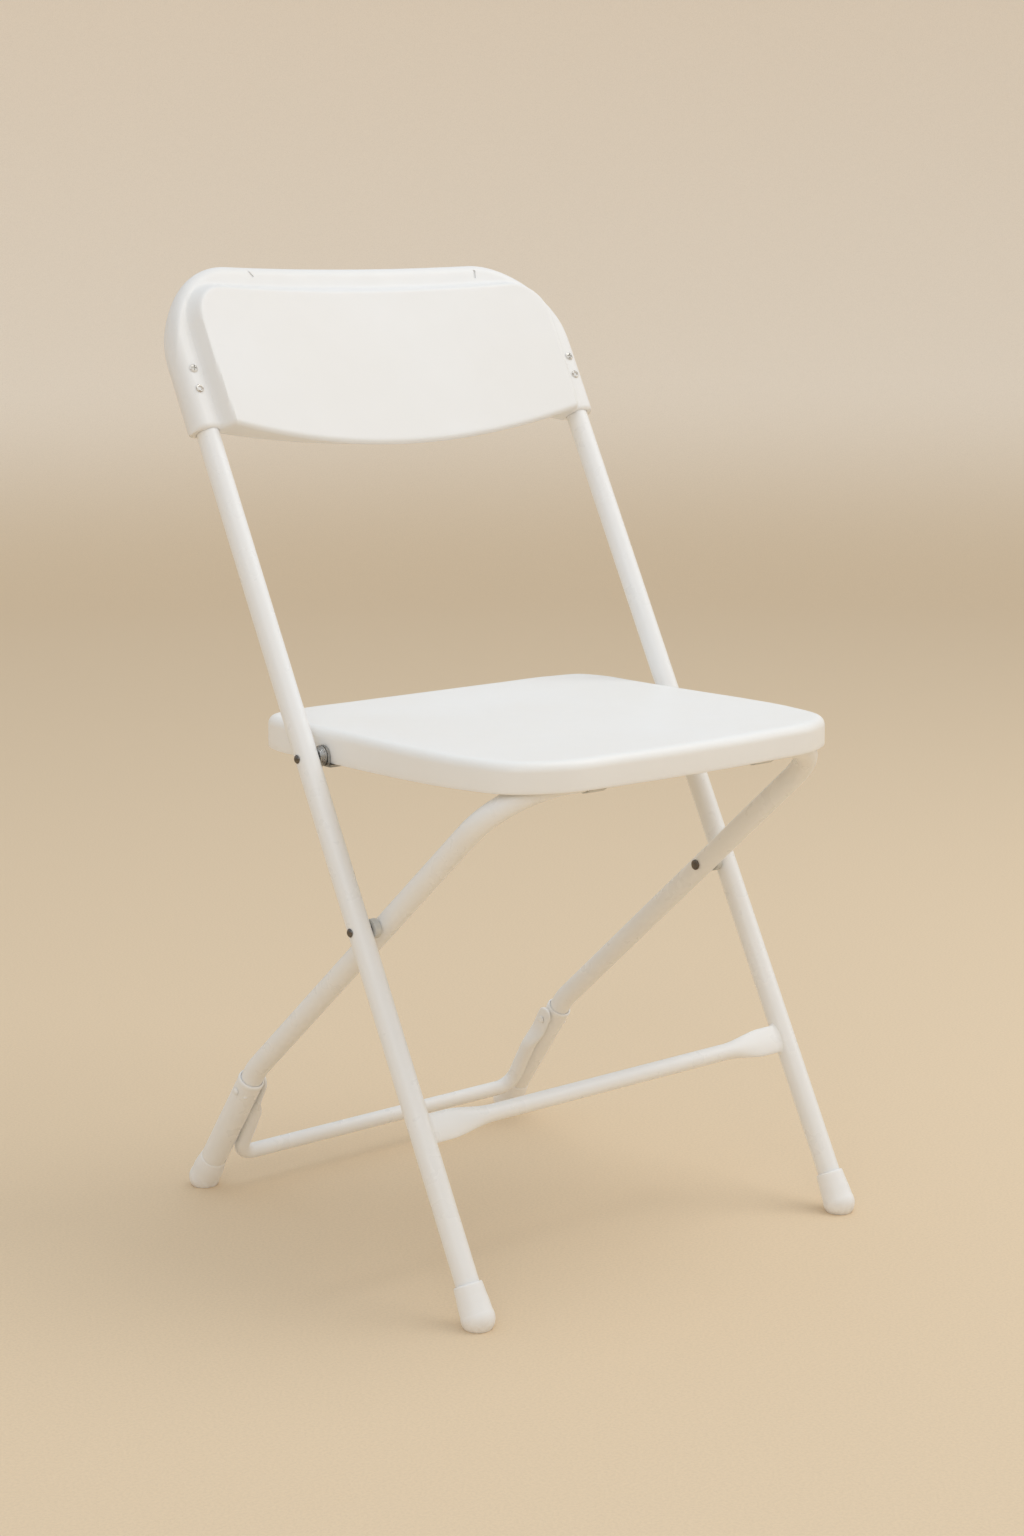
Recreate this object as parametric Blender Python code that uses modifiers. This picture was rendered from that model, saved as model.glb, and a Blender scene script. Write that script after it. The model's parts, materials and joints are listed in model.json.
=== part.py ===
"""Folding chair: white tube frame, moulded backrest and seat. Metres, +Z up, front towards -Y.

The uprights run straight from the front feet to the backrest. The rear legs form one bent tube that
crosses the uprights at the leg pivot and ends in a cross bar under the front of the seat. The seat turns
on its own pivot, higher up on the uprights.
"""

import math

import bmesh
import bpy
from mathutils import Matrix, Vector

# Gaps and tube stock
GAP = 0.0003
TUBE_R = 0.0095
TUBE_WALL = 0.0012
BORE_R = TUBE_R + GAP
SIDES = 20

# Uprights: their spacing, their lean from vertical, and where their centre lines meet the floor
UPRIGHT_X = 0.2000
FRONT_Y = -0.20035
LEAN = math.radians(27.4)
UPRIGHT_END = 0.815

# Pivots, measured along the upright from the floor
LEG_PIVOT_S = 0.3207
SEAT_PIVOT_S = 0.4660

# Rear leg tube
REAR_X = 0.1745
REAR_LEAN = math.radians(49.1)
LOWER_LEAN = math.radians(35.7)
PIVOT_TO_BAR = 0.1980
PIVOT_TO_BEND = 0.2440
BAR_BEND_R = 0.059
LEG_BEND_R = 0.060

# Feet and sleeves
FOOT_R = 0.0135
FOOT_CENTRE_Z = 0.0080
FOOT_TOP_R = 0.0116
FOOT_LENGTH = 0.0265
FOOT_BORE = 0.0020
SLEEVE_R = 0.0112
SLEEVE_TOP = 0.0120

# Rear brace
BRACE_R = 0.00675
BRACE_Z = 0.0307
BRACE_BEND_R = 0.016
BRACE_RIVET_DROP = 0.0260
BRACE_BACK = 0.0579
BRACE_END = 0.0120
BRACE_PIN_R = 0.0020
BRACE_HOLE = 0.0024
BRACE_FLAT_T = 0.0021
BRACE_FLAT_W = 0.0085
# Down from each end: distance, how flat, and how much of the width is left
BRACE_STATIONS = [
    (0.0, 1.0, 0.50),
    (0.0022, 1.0, 0.82),
    (0.0065, 1.0, 1.0),
    (0.0220, 1.0, 1.0),
    (0.0300, 0.75, 1.0),
    (0.0380, 0.25, 1.0),
    (0.0460, 0.0, 1.0),
]

# Front stretcher
STRETCHER_S = 0.1573
STRETCHER_R = 0.0070
STRETCHER_WALL = 0.0012

# Seat, measured forward (f) and up (h) from its pivot
SEAT_TOP = 0.0213
SEAT_RIM = -0.0057
SEAT_RIM_RISE = 0.0030
SEAT_FRONT = 0.2439
SEAT_WALL = 0.0035
SEAT_DISH = 0.0025
SEAT_ROUND = 0.0080
SEAT_MIDDLE = 0.0700
SEAT_FLAT_INSET = 0.0300
SEAT_BOSS_R = 0.0045
SEAT_OUTLINE = [
    (0.000, -0.1036),
    (0.080, -0.1036),
    (0.138, -0.1026),
    (0.1715, -0.0930),
    (0.1824, -0.0660),
    (0.1828, -0.0330),
    (0.1826, 0.0000),
    (0.1840, 0.0570),
    (0.1856, 0.1120),
    (0.1824, 0.1670),
    (0.1680, 0.2138),
    (0.1350, 0.2352),
    (0.0800, 0.2415),
    (0.000, SEAT_FRONT),
]

# Seat brackets, and the rails that guide the cross bar
BRACKET_X = 0.1834
BRACKET_T = 0.0022
BRACKET_HALF = 0.0088
BRACKET_FOOT_T = 0.0020
BRACKET_FOOT_HALF = 0.0120
BRACKET_FOOT_X = 0.1500
BRACKET_SCREW_X = 0.1580
BRACKET_SCREWS = (-0.0072, 0.0072)
GUIDE_X = 0.0900
GUIDE_W = 0.0140
GUIDE_REAR = 0.0220
GUIDE_LOW = -0.0024
GUIDE_TOP = 0.0148
GUIDE_SLIDE = 0.0090
GUIDE_LIP = 0.0035
GUIDE_SCREWS = (0.040, 0.150)
GLIDE_R = 0.0108
GLIDE_HALF_LENGTH = 0.0090

# Backrest, measured across (x), along the uprights (s) and forward of their plane (n)
BACK_HALF_W = 0.2155
BACK_TOP = 0.9005
BACK_CORNER_X = 0.085
BACK_CORNER_S = 0.102
BACK_BOTTOM = 0.7485
BACK_LIP_DROP = 0.0200
BACK_HEEL = 0.7545
BACK_HEEL_DROP = 0.0160
BACK_WALL = 0.0030
BACK_EDGE = 0.0110
PAD_HALF_W = 0.1930
PAD_TOP = 0.8773
PAD_CORNER = 0.038
PAD_TAPER = 0.05
PAD_TAPER_S = 0.80
BACK_FIX_X = 0.2030
BACK_FIX_S = (0.7830, 0.8010)

# Fasteners
PIN_R = 0.0030
PIN_HOLE = 0.0034
PIN_HEAD_R = 0.0045
PIN_TAIL_R = 0.0048
SMALL_R = 0.0016
SMALL_HOLE = 0.0020
SMALL_HEAD_R = 0.0033
SMALL_DOME = 0.0014
SPACER_R = 0.0080
BOLT_END_X = 0.1685
NUT_X = (0.1705, 0.1752)
NUT_R = 0.0055

WHITE_PAINT = ("white_powder_coat", (0.86, 0.86, 0.84, 1), 0.35, 0.0)
WHITE_PLASTIC = ("white_plastic", (0.88, 0.88, 0.87, 1), 0.45, 0.0)
WHITE_CAP = ("white_cap_plastic", (0.87, 0.87, 0.85, 1), 0.50, 0.0)
ZINC = ("zinc_steel", (0.55, 0.55, 0.54, 1), 0.35, 1.0)
NYLON = ("grey_nylon", (0.70, 0.70, 0.68, 1), 0.55, 0.0)


# ---------------------------------------------------------------- scene and frame helpers


def clear_scene():
    for obj in list(bpy.data.objects):
        bpy.data.objects.remove(obj, do_unlink=True)


def collection(name):
    made = bpy.data.collections.new(name)
    bpy.context.scene.collection.children.link(made)
    return made


def material(spec):
    name, colour, roughness, metallic = spec
    found = bpy.data.materials.get(name)
    if found:
        return found
    made = bpy.data.materials.new(name)
    made.use_nodes = True
    shader = made.node_tree.nodes["Principled BSDF"]
    shader.inputs["Base Color"].default_value = colour
    shader.inputs["Roughness"].default_value = roughness
    shader.inputs["Metallic"].default_value = metallic
    made.diffuse_color = colour
    return made


def own_material(node, spec):
    """A material of the node's own, with the finish that the spec gives."""
    copy = material(spec).copy()
    copy.name = f"{spec[0]}.{node}"
    return copy


def on_upright(x, s, n=0.0):
    """World point from across, along the uprights, and forward of their plane."""
    y = FRONT_Y + s * math.sin(LEAN) - n * math.cos(LEAN)
    return Vector((x, y, s * math.cos(LEAN) + n * math.sin(LEAN)))


UPRIGHT_AXIS = Vector((0, math.sin(LEAN), math.cos(LEAN)))
REAR_AXIS = Vector((0, -math.sin(REAR_LEAN), math.cos(REAR_LEAN)))
LOWER_AXIS = Vector((0, -math.sin(LOWER_LEAN), math.cos(LOWER_LEAN)))

LEG_PIVOT = on_upright(0, LEG_PIVOT_S)
SEAT_PIVOT = on_upright(0, SEAT_PIVOT_S)
BAR = LEG_PIVOT + REAR_AXIS * PIVOT_TO_BAR
LEG_BEND = LEG_PIVOT - REAR_AXIS * PIVOT_TO_BEND
REAR_FOOT = LEG_BEND - LOWER_AXIS * ((LEG_BEND.z - FOOT_CENTRE_Z) / LOWER_AXIS.z)
BRACE_RIVET = LEG_BEND - LOWER_AXIS * BRACE_RIVET_DROP


def shifted(point, x):
    return Vector((x, point.y, point.z))


def on_seat(x, f, h):
    return Vector((x, SEAT_PIVOT.y - f, SEAT_PIVOT.z + h))


def placed(point, axis):
    """Matrix whose Z runs along the axis and whose origin is the point."""
    return Matrix.Translation(point) @ axis.normalized().to_track_quat("Z", "Y").to_matrix().to_4x4()


# ---------------------------------------------------------------- object makers


def add(name, data, spec, home, matrix=None):
    obj = bpy.data.objects.new(name, data)
    home.objects.link(obj)
    if matrix is not None:
        obj.matrix_world = matrix
    if spec:
        obj.data.materials.append(own_material(name, spec))
    return obj


def shade(obj, angle=40.0):
    obj.data.shade_smooth()
    obj.data.set_sharp_from_angle(angle=math.radians(angle))


def rounded_path(corners, radius, steps):
    """Points along straight runs whose inner corners are arcs of the given radii."""
    points = [corners[0]]
    for before, corner, after, bend, count in zip(corners, corners[1:], corners[2:], radius, steps):
        into = (corner - before).normalized()
        out = (after - corner).normalized()
        turn = into.angle(out)
        reach = bend * math.tan(turn / 2)
        start = corner - into * reach
        centre = start + (out - into * into.dot(out)).normalized() * bend
        axis = into.cross(out).normalized()
        for i in range(count + 1):
            points.append(centre + Matrix.Rotation(turn * i / count, 3, axis) @ (start - centre))
    points.append(corners[-1])
    return points


def curve_mesh(name, points, radius, sides):
    """Mesh of an open round skin along the points, from a curve with a bevel."""
    curve = bpy.data.curves.new(name, "CURVE")
    curve.dimensions = "3D"
    curve.bevel_depth = radius
    curve.bevel_resolution = (sides - 4) // 2
    spline = curve.splines.new("POLY")
    spline.points.add(len(points) - 1)
    for point, place in zip(spline.points, points):
        point.co = (*place, 1)
    guide = bpy.data.objects.new(name + "_path", curve)
    PARTS.objects.link(guide)
    bpy.context.view_layer.update()
    graph = bpy.context.evaluated_depsgraph_get()
    mesh = bpy.data.meshes.new_from_object(guide.evaluated_get(graph))
    mesh.name = name
    bpy.data.objects.remove(guide, do_unlink=True)
    return mesh


def tube(name, points, radius, wall, spec, sides=SIDES):
    """Hollow tube with open ends."""
    obj = add(name, curve_mesh(name, points, radius, sides), spec, PARTS)
    solidify(obj, wall)
    shade(obj)
    return obj


def solidify(obj, wall):
    """Thicken an open skin inwards."""
    shell = obj.modifiers.new("wall", "SOLIDIFY")
    shell.thickness = wall
    shell.offset = -1


def turned(name, profile, matrix, spec, steps=12, home=None):
    """Solid of revolution about the matrix's Z. The profile is (radius, height), down its outer side."""
    mesh = bpy.data.meshes.new(name)
    mesh.from_pydata([(r, 0, z) for r, z in profile], [(i, i + 1) for i in range(len(profile) - 1)], [])
    obj = add(name, mesh, spec, home or PARTS, matrix)
    screw = obj.modifiers.new("turn", "SCREW")
    screw.steps = screw.render_steps = steps
    screw.use_merge_vertices = True
    screw.merge_threshold = 0.00001
    screw.use_smooth_shade = True
    return obj


def round_cutter(name, radius, start, end, sides=16):
    """Closed cylinder between two points, kept out of the render."""
    mesh = bpy.data.meshes.new(name)
    shape = bmesh.new()
    length = (end - start).length
    bmesh.ops.create_cone(
        shape, cap_ends=True, segments=sides, radius1=radius, radius2=radius, depth=length
    )
    shape.to_mesh(mesh)
    shape.free()
    return helper(add(name, mesh, None, CUTTERS, placed((start + end) / 2, end - start)))


def helper(obj):
    obj.hide_render = True
    obj.display_type = "WIRE"
    return obj


def boolean(obj, other, operation="DIFFERENCE"):
    modifier = obj.modifiers.new(operation.lower(), "BOOLEAN")
    modifier.object = other
    modifier.operation = operation
    modifier.solver = "EXACT"


def box(name, low, high, spec, home, matrix=None):
    """Box between two corners, in the matrix's frame."""
    mesh = bpy.data.meshes.new(name)
    shape = bmesh.new()
    size = Vector(high) - Vector(low)
    middle = (Vector(high) + Vector(low)) / 2
    bmesh.ops.create_cube(shape, size=1, matrix=Matrix.Translation(middle) @ Matrix.Diagonal((*size, 1)))
    shape.to_mesh(mesh)
    shape.free()
    return add(name, mesh, spec, home, matrix)


def plate(name, outline, thickness, matrix, spec, home=None):
    """Flat outline in the matrix's XY plane, with half its thickness on each side."""
    curve = bpy.data.curves.new(name, "CURVE")
    curve.dimensions = "2D"
    curve.fill_mode = "BOTH"
    curve.extrude = thickness / 2
    spline = curve.splines.new("POLY")
    spline.use_cyclic_u = True
    spline.points.add(len(outline) - 1)
    for point, place in zip(spline.points, outline):
        point.co = (place[0], place[1], 0, 1)
    guide = bpy.data.objects.new(name + "_outline", curve)
    PARTS.objects.link(guide)
    guide.matrix_world = matrix
    bpy.context.view_layer.update()
    graph = bpy.context.evaluated_depsgraph_get()
    mesh = bpy.data.meshes.new_from_object(guide.evaluated_get(graph))
    bpy.data.objects.remove(guide, do_unlink=True)
    shape = bmesh.new()
    shape.from_mesh(mesh)
    bmesh.ops.remove_doubles(shape, verts=shape.verts, dist=0.00001)
    bmesh.ops.recalc_face_normals(shape, faces=shape.faces)
    shape.to_mesh(mesh)
    shape.free()
    return add(name, mesh, spec, home or PARTS, matrix)


def loft(name, rings, spec, home, ends="fan"):
    """Skin over rings of equal size. Its ends close in a fan, have met already, or stay open."""
    mesh = bpy.data.meshes.new(name)
    shape = bmesh.new()
    made = [[shape.verts.new(point) for point in ring] for ring in rings]
    count = len(rings[0])
    for low, high in zip(made, made[1:]):
        for i in range(count):
            j = (i + 1) % count
            shape.faces.new((low[i], low[j], high[j], high[i]))
    if ends == "fan":
        for ring in (made[0], made[-1]):
            middle = shape.verts.new(sum((v.co for v in ring), Vector()) / count)
            for i in range(count):
                shape.faces.new((ring[i], ring[(i + 1) % count], middle))
    if ends != "open":
        bmesh.ops.remove_doubles(shape, verts=shape.verts, dist=0.00002)
        bmesh.ops.dissolve_degenerate(shape, edges=shape.edges, dist=0.00002)
        bmesh.ops.recalc_face_normals(shape, faces=shape.faces)
    shape.to_mesh(mesh)
    shape.free()
    return add(name, mesh, spec, home)


def arc(cx, cy, radius, start, end, count):
    """Points of an arc, angles in degrees."""
    angles = [math.radians(start + (end - start) * i / count) for i in range(count + 1)]
    return [(cx + radius * math.cos(a), cy + radius * math.sin(a)) for a in angles]


def headed_pin(name, start, end, shank, head, spec, dome=0.0015, tail=None):
    """Pin from start to end, with a domed head beyond the start and, if given, a flat tail head."""
    length = (end - start).length
    profile = [(0, dome), (head * 0.55, dome * 0.85), (head, dome * 0.2), (head, 0), (shank, 0)]
    if tail:
        profile += [(shank, -length), (tail, -length), (tail, -length - dome), (0, -length - dome)]
    else:
        profile += [(shank, -length), (0, -length)]
    return turned(name, profile, placed(start, start - end), spec)


def ring_piece(name, start, end, inner, outer, spec):
    """Washer, bush or spacer along start to end."""
    length = (end - start).length
    profile = [(inner, 0), (inner, length), (outer, length), (outer, 0), (inner, 0)]
    return turned(name, profile, placed(start, end - start), spec, steps=16)


# ---------------------------------------------------------------- front frame


def sides():
    """Name and sign of the left (-X) and right (+X) side."""
    return (("left", -1), ("right", 1))


def make_uprights():
    for side, sign in sides():
        x = sign * UPRIGHT_X
        foot_s = FOOT_CENTRE_Z / math.cos(LEAN)
        ends = [on_upright(x, foot_s + FOOT_BORE + GAP), on_upright(x, UPRIGHT_END)]
        obj = tube(f"upright_{side}", ends, TUBE_R, TUBE_WALL, WHITE_PAINT)
        for hole, s in (("seat", SEAT_PIVOT_S), ("leg", LEG_PIVOT_S)):
            name = f"cut_{hole}_pivot_{side}"
            reach = TUBE_R + 0.003
            cutter = round_cutter(name, PIN_HOLE, on_upright(x - reach, s), on_upright(x + reach, s))
            boolean(obj, cutter)
        for i, s in enumerate(BACK_FIX_S):
            fix_x = sign * BACK_FIX_X
            boolean(obj, back_fix_cutter(f"cut_back_fix_{side}_{i}", fix_x, s))


def back_fix_cutter(name, x, s):
    """Hole right through the backrest and the upright for one of the backrest's fasteners."""
    reach = 0.04
    return round_cutter(name, SMALL_HOLE, on_upright(x, s, -reach), on_upright(x, s, reach), 12)


def floor_cutter():
    return helper(box("cut_floor", (-0.4, -0.4, -0.05), (0.4, 0.4, 0.0), None, CUTTERS))


def make_foot(name, centre, axis, floor):
    """Cap over a tube's end: a bore, a bulge that rounds under, and a flat sole where the floor cuts it."""
    turns = [math.radians(a) for a in (20, 0, -25, -50, -75)]
    bulge = [(FOOT_R * math.cos(turn), FOOT_R * math.sin(turn)) for turn in turns]
    profile = [(0, FOOT_BORE), (BORE_R, FOOT_BORE), (BORE_R, FOOT_LENGTH)]
    profile += [(FOOT_TOP_R - 0.0006, FOOT_LENGTH), (FOOT_TOP_R, FOOT_LENGTH - 0.0010), (0.0122, 0.0200)]
    profile += bulge + [(0, -FOOT_R)]
    obj = turned(name, profile, placed(centre, axis), WHITE_CAP, steps=16)
    boolean(obj, floor)
    return obj


def make_front_feet(floor):
    for side, sign in sides():
        centre = on_upright(sign * UPRIGHT_X, FOOT_CENTRE_Z / math.cos(LEAN))
        make_foot(f"front_foot_{side}", centre, UPRIGHT_AXIS, floor)


def make_front_stretcher():
    """Round tube that flattens into a tall blade where it meets each upright."""
    half = UPRIGHT_X - TUBE_R + 0.004
    stations = [(half, 1.0), (half - 0.020, 1.0), (half - 0.036, 0.75)]
    stations += [(half - 0.050, 0.3), (half - 0.066, 0.0)]
    rings = []
    for x, flat in [(-x, flat) for x, flat in stations] + [(x, flat) for x, flat in reversed(stations)]:
        tall = STRETCHER_R + flat * 0.0050
        thick = STRETCHER_R - flat * 0.0036
        ring = []
        for i in range(16):
            turn = 2 * math.pi * i / 16
            ring.append(on_upright(x, STRETCHER_S + tall * math.cos(turn), thick * math.sin(turn)))
        rings.append(ring)
    obj = loft("front_stretcher", rings, WHITE_PAINT, PARTS, "open")
    solidify(obj, STRETCHER_WALL)
    shade(obj)
    for side, sign in sides():
        x = sign * UPRIGHT_X
        cutter = round_cutter(f"cut_stretcher_{side}", BORE_R, on_upright(x, 0.10), on_upright(x, 0.22), 32)
        boolean(obj, cutter)
        block = box(
            f"cut_stretcher_end_{side}", (-0.02, -0.05, -0.05), (0.02, 0.05, 0.05), None, CUTTERS,
            Matrix.Translation(on_upright(sign * (UPRIGHT_X + 0.02), STRETCHER_S)),
        )
        boolean(obj, helper(block))


# ---------------------------------------------------------------- backrest


def mix(a, b, t):
    return a + (b - a) * t


def smooth(t):
    t = min(max(t, 0.0), 1.0)
    return t * t * (3 - 2 * t)


def corner_drop(x, half_width, across, down):
    """How far an edge with an elliptical corner has fallen at this distance across."""
    past = max(abs(x) - (half_width - across), 0.0) / across
    return down * (1 - math.sqrt(max(1 - past * past, 0.0)))


def pad_inside(x, s):
    """Distance inside the raised pad's outline, negative outside it."""
    taper = PAD_TAPER * max(PAD_TAPER_S - s, 0.0)
    qx = abs(x) + taper - (PAD_HALF_W - PAD_CORNER)
    qs = s - (PAD_TOP - PAD_CORNER)
    outside = math.hypot(max(qx, 0.0), max(qs, 0.0)) + min(max(qx, qs), 0.0)
    return PAD_CORNER - outside


def back_front(x, s):
    """Front face, forward of the uprights' plane: a ledge all round a raised, hollowed pad."""
    across = min(abs(x) / UPRIGHT_X, 1.0)
    ledge = mix(-0.0030, 0.0118, across * across)
    pad = mix(0.0060, 0.0240, (abs(x) / PAD_HALF_W) ** 2)
    return mix(ledge, pad, smooth((pad_inside(x, s) + 0.0020) / 0.0070))


def back_rear(x):
    across = min(abs(x) / UPRIGHT_X, 1.0)
    return mix(-0.0210, -0.0128, across * across)


def back_profile(x, inset, rows):
    """Closed loop of (s, n) at one distance across, clockwise from the front of the lower edge."""
    half_width = BACK_HALF_W - inset
    top = BACK_TOP - inset - corner_drop(x, half_width, BACK_CORNER_X - inset, BACK_CORNER_S - inset)
    bow = max(1 - (x / PAD_HALF_W) ** 2, 0.0)
    lip = BACK_BOTTOM + inset - BACK_LIP_DROP * bow
    heel = mix(BACK_BOTTOM, BACK_HEEL, smooth(bow * 6)) + inset - BACK_HEEL_DROP * bow
    edge = BACK_EDGE - inset
    past = max(abs(x) - (half_width - edge), 0.0) / edge
    swell = math.sqrt(max(1 - past * past, 0.0))
    step = PAD_TOP - corner_drop(min(abs(x), PAD_HALF_W), PAD_HALF_W, PAD_CORNER, PAD_CORNER)
    step = min(step, top - 0.018)
    marks = [mix(lip + 0.002, step - 0.008, i / rows) for i in range(rows + 1)]
    marks += [step - 0.0045, step + 0.0015, top - edge]
    loop = []
    for s in marks:
        front = back_front(x, s) - inset
        rear = back_rear(x) + inset
        middle = (front + rear) / 2
        loop.append((s, mix(middle, front, swell)))
    front, rear = back_front(x, top - edge) - inset, back_rear(x) + inset
    middle, half = (front + rear) / 2, (front - rear) / 2 * swell
    for a in (30, 60, 90, 120, 150):
        turn = math.radians(a)
        loop.append((top - edge + edge * math.sin(turn), middle + half * math.cos(turn)))
    for s in reversed(marks):
        front = back_front(x, s) - inset
        middle = (front + rear) / 2
        fall = (s - marks[0]) / (marks[-1] - marks[0])
        loop.append((mix(heel + 0.002, marks[-1], fall), mix(middle, rear, swell)))
    front = back_front(x, lip) - inset
    middle = (front + rear) / 2
    loop.append((heel, mix(middle, rear + 0.002, swell)))
    loop.append((lip, mix(middle, front - 0.002, swell)))
    return loop


def back_stations(inset):
    half_width = BACK_HALF_W - inset
    edge = BACK_EDGE - inset
    rounding = [half_width - edge + edge * math.sin(math.radians(a)) for a in (0, 30, 60, 90)]
    half = [0.0, 0.045, 0.090, 0.125, 0.148, 0.165, 0.178, 0.188, 0.1955] + rounding
    return [-x for x in reversed(half[1:])] + half


def backrest_mesh(name, inset, home, spec):
    rings = []
    for x in back_stations(inset):
        rings.append([on_upright(x, s, n) for s, n in back_profile(x, inset, 3)])
    return loft(name, rings, spec, home, "met")


def make_backrest():
    """Hollow double-walled shell. The sockets for the uprights open into its hollow."""
    obj = backrest_mesh("backrest", 0.0, PARTS, WHITE_PLASTIC)
    hollow = helper(backrest_mesh("cut_backrest_hollow", BACK_WALL, CUTTERS, None))
    boolean(obj, hollow)
    for side, sign in sides():
        x = sign * UPRIGHT_X
        below, end = on_upright(x, BACK_BOTTOM - 0.05), on_upright(x, UPRIGHT_END + GAP)
        boolean(obj, round_cutter(f"cut_socket_{side}", BORE_R, below, end, 24))
        for i, s in enumerate(BACK_FIX_S):
            fix_x = sign * BACK_FIX_X
            boolean(obj, back_fix_cutter(f"cut_back_hole_{side}_{i}", fix_x, s))
            front = on_upright(fix_x, s, back_front(fix_x, s) + GAP)
            rear = on_upright(fix_x, s, back_rear(fix_x - sign * 0.010) - GAP)
            kind = ("backrest_rivet", "backrest_screw")[i]
            headed_pin(f"{kind}_{side}", front, rear, SMALL_R, 0.0040, ZINC, 0.0012, 0.0036)
    shade(obj, 35)


# ---------------------------------------------------------------- pivots


def make_pivots():
    for side, sign in sides():
        outer = sign * (UPRIGHT_X + TUBE_R + GAP)
        inner = sign * (REAR_X - TUBE_R - GAP)
        leg_out, leg_in = shifted(LEG_PIVOT, outer), shifted(LEG_PIVOT, inner)
        headed_pin(f"leg_pivot_rivet_{side}", leg_out, leg_in, PIN_R, PIN_HEAD_R, ZINC, 0.0018, PIN_TAIL_R)
        start = shifted(LEG_PIVOT, sign * (REAR_X + TUBE_R + GAP))
        end = shifted(LEG_PIVOT, sign * (UPRIGHT_X - TUBE_R - GAP))
        ring_piece(f"leg_pivot_spacer_{side}", start, end, PIN_HOLE, SPACER_R, NYLON)

        bolt_out = shifted(SEAT_PIVOT, outer)
        bolt_in = shifted(SEAT_PIVOT, sign * BOLT_END_X)
        headed_pin(f"seat_pivot_bolt_{side}", bolt_out, bolt_in, PIN_R, PIN_HEAD_R, ZINC, 0.0018)
        start = shifted(SEAT_PIVOT, sign * (BRACKET_X + BRACKET_T + GAP))
        end = shifted(SEAT_PIVOT, sign * (UPRIGHT_X - TUBE_R - GAP))
        make_flanged_spacer(f"seat_pivot_spacer_{side}", start, end)
        make_nut(f"seat_pivot_nut_{side}", sign)


def make_flanged_spacer(name, start, end):
    """Barrel between the bracket and the upright, with a washer face at the bracket's end."""
    length = (end - start).length
    profile = [(PIN_HOLE, 0), (PIN_HOLE, length), (0.0060, length), (0.0060, 0.0030), (0.0066, 0.0024)]
    profile += [(0.0080, 0.0018), (0.0085, 0.0012), (0.0085, 0), (PIN_HOLE, 0)]
    turned(name, profile, placed(start, end - start), ZINC, steps=16)


def make_nut(name, sign):
    """Hexagonal nut on the bolt's inner end, inside the seat's hollow."""
    start, end = (shifted(SEAT_PIVOT, sign * x) for x in NUT_X)
    length = (end - start).length
    mesh = bpy.data.meshes.new(name)
    shape = bmesh.new()
    bmesh.ops.create_cone(shape, cap_ends=True, segments=6, radius1=NUT_R, radius2=NUT_R, depth=length)
    shape.to_mesh(mesh)
    shape.free()
    obj = add(name, mesh, ZINC, PARTS, placed((start + end) / 2, end - start))
    reach = Vector((sign * 0.004, 0, 0))
    boolean(obj, round_cutter("cut_" + name, PIN_HOLE, start - reach, end + reach))


# ---------------------------------------------------------------- rear frame


def make_rear_frame():
    """One tube: up both rear legs, and across under the front of the seat."""
    half = [
        shifted(REAR_FOOT + LOWER_AXIS * (FOOT_BORE + GAP), REAR_X),
        shifted(LEG_BEND, REAR_X),
        shifted(BAR, REAR_X),
    ]
    corners = half + [Vector((-p.x, p.y, p.z)) for p in reversed(half)]
    radii = (LEG_BEND_R, BAR_BEND_R, BAR_BEND_R, LEG_BEND_R)
    points = rounded_path(corners, radii, (2, 7, 7, 2))
    obj = tube("rear_leg_frame", points, TUBE_R, TUBE_WALL, WHITE_PAINT)
    for side, sign in sides():
        x = sign * REAR_X
        reach = TUBE_R + 0.003
        for hole, place, radius in (("leg", LEG_PIVOT, PIN_HOLE), ("brace", BRACE_RIVET, BRACE_HOLE)):
            start, end = shifted(place, x - reach), shifted(place, x + reach)
            boolean(obj, round_cutter(f"cut_rear_{hole}_{side}", radius, start, end))


def make_rear_feet(floor):
    for side, sign in sides():
        make_foot(f"rear_foot_{side}", shifted(REAR_FOOT, sign * REAR_X), LOWER_AXIS, floor)


def make_sleeves():
    """Sleeve over each lower leg, from the bend down to the foot cap."""
    length = (LEG_BEND - REAR_FOOT).length - SLEEVE_TOP - FOOT_LENGTH - GAP
    for side, sign in sides():
        x = sign * REAR_X
        top = shifted(LEG_BEND - LOWER_AXIS * SLEEVE_TOP, x)
        profile = [(BORE_R, -length), (BORE_R, 0), (SLEEVE_R - 0.0006, 0), (SLEEVE_R, -0.0008)]
        profile += [(SLEEVE_R, -length), (BORE_R, -length)]
        obj = turned(f"rear_leg_sleeve_{side}", profile, placed(top, LOWER_AXIS), WHITE_PAINT, steps=SIDES)
        reach = SLEEVE_R + 0.002
        start, end = shifted(BRACE_RIVET, x - reach), shifted(BRACE_RIVET, x + reach)
        boolean(obj, round_cutter(f"cut_sleeve_{side}", BRACE_HOLE, start, end))


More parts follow.
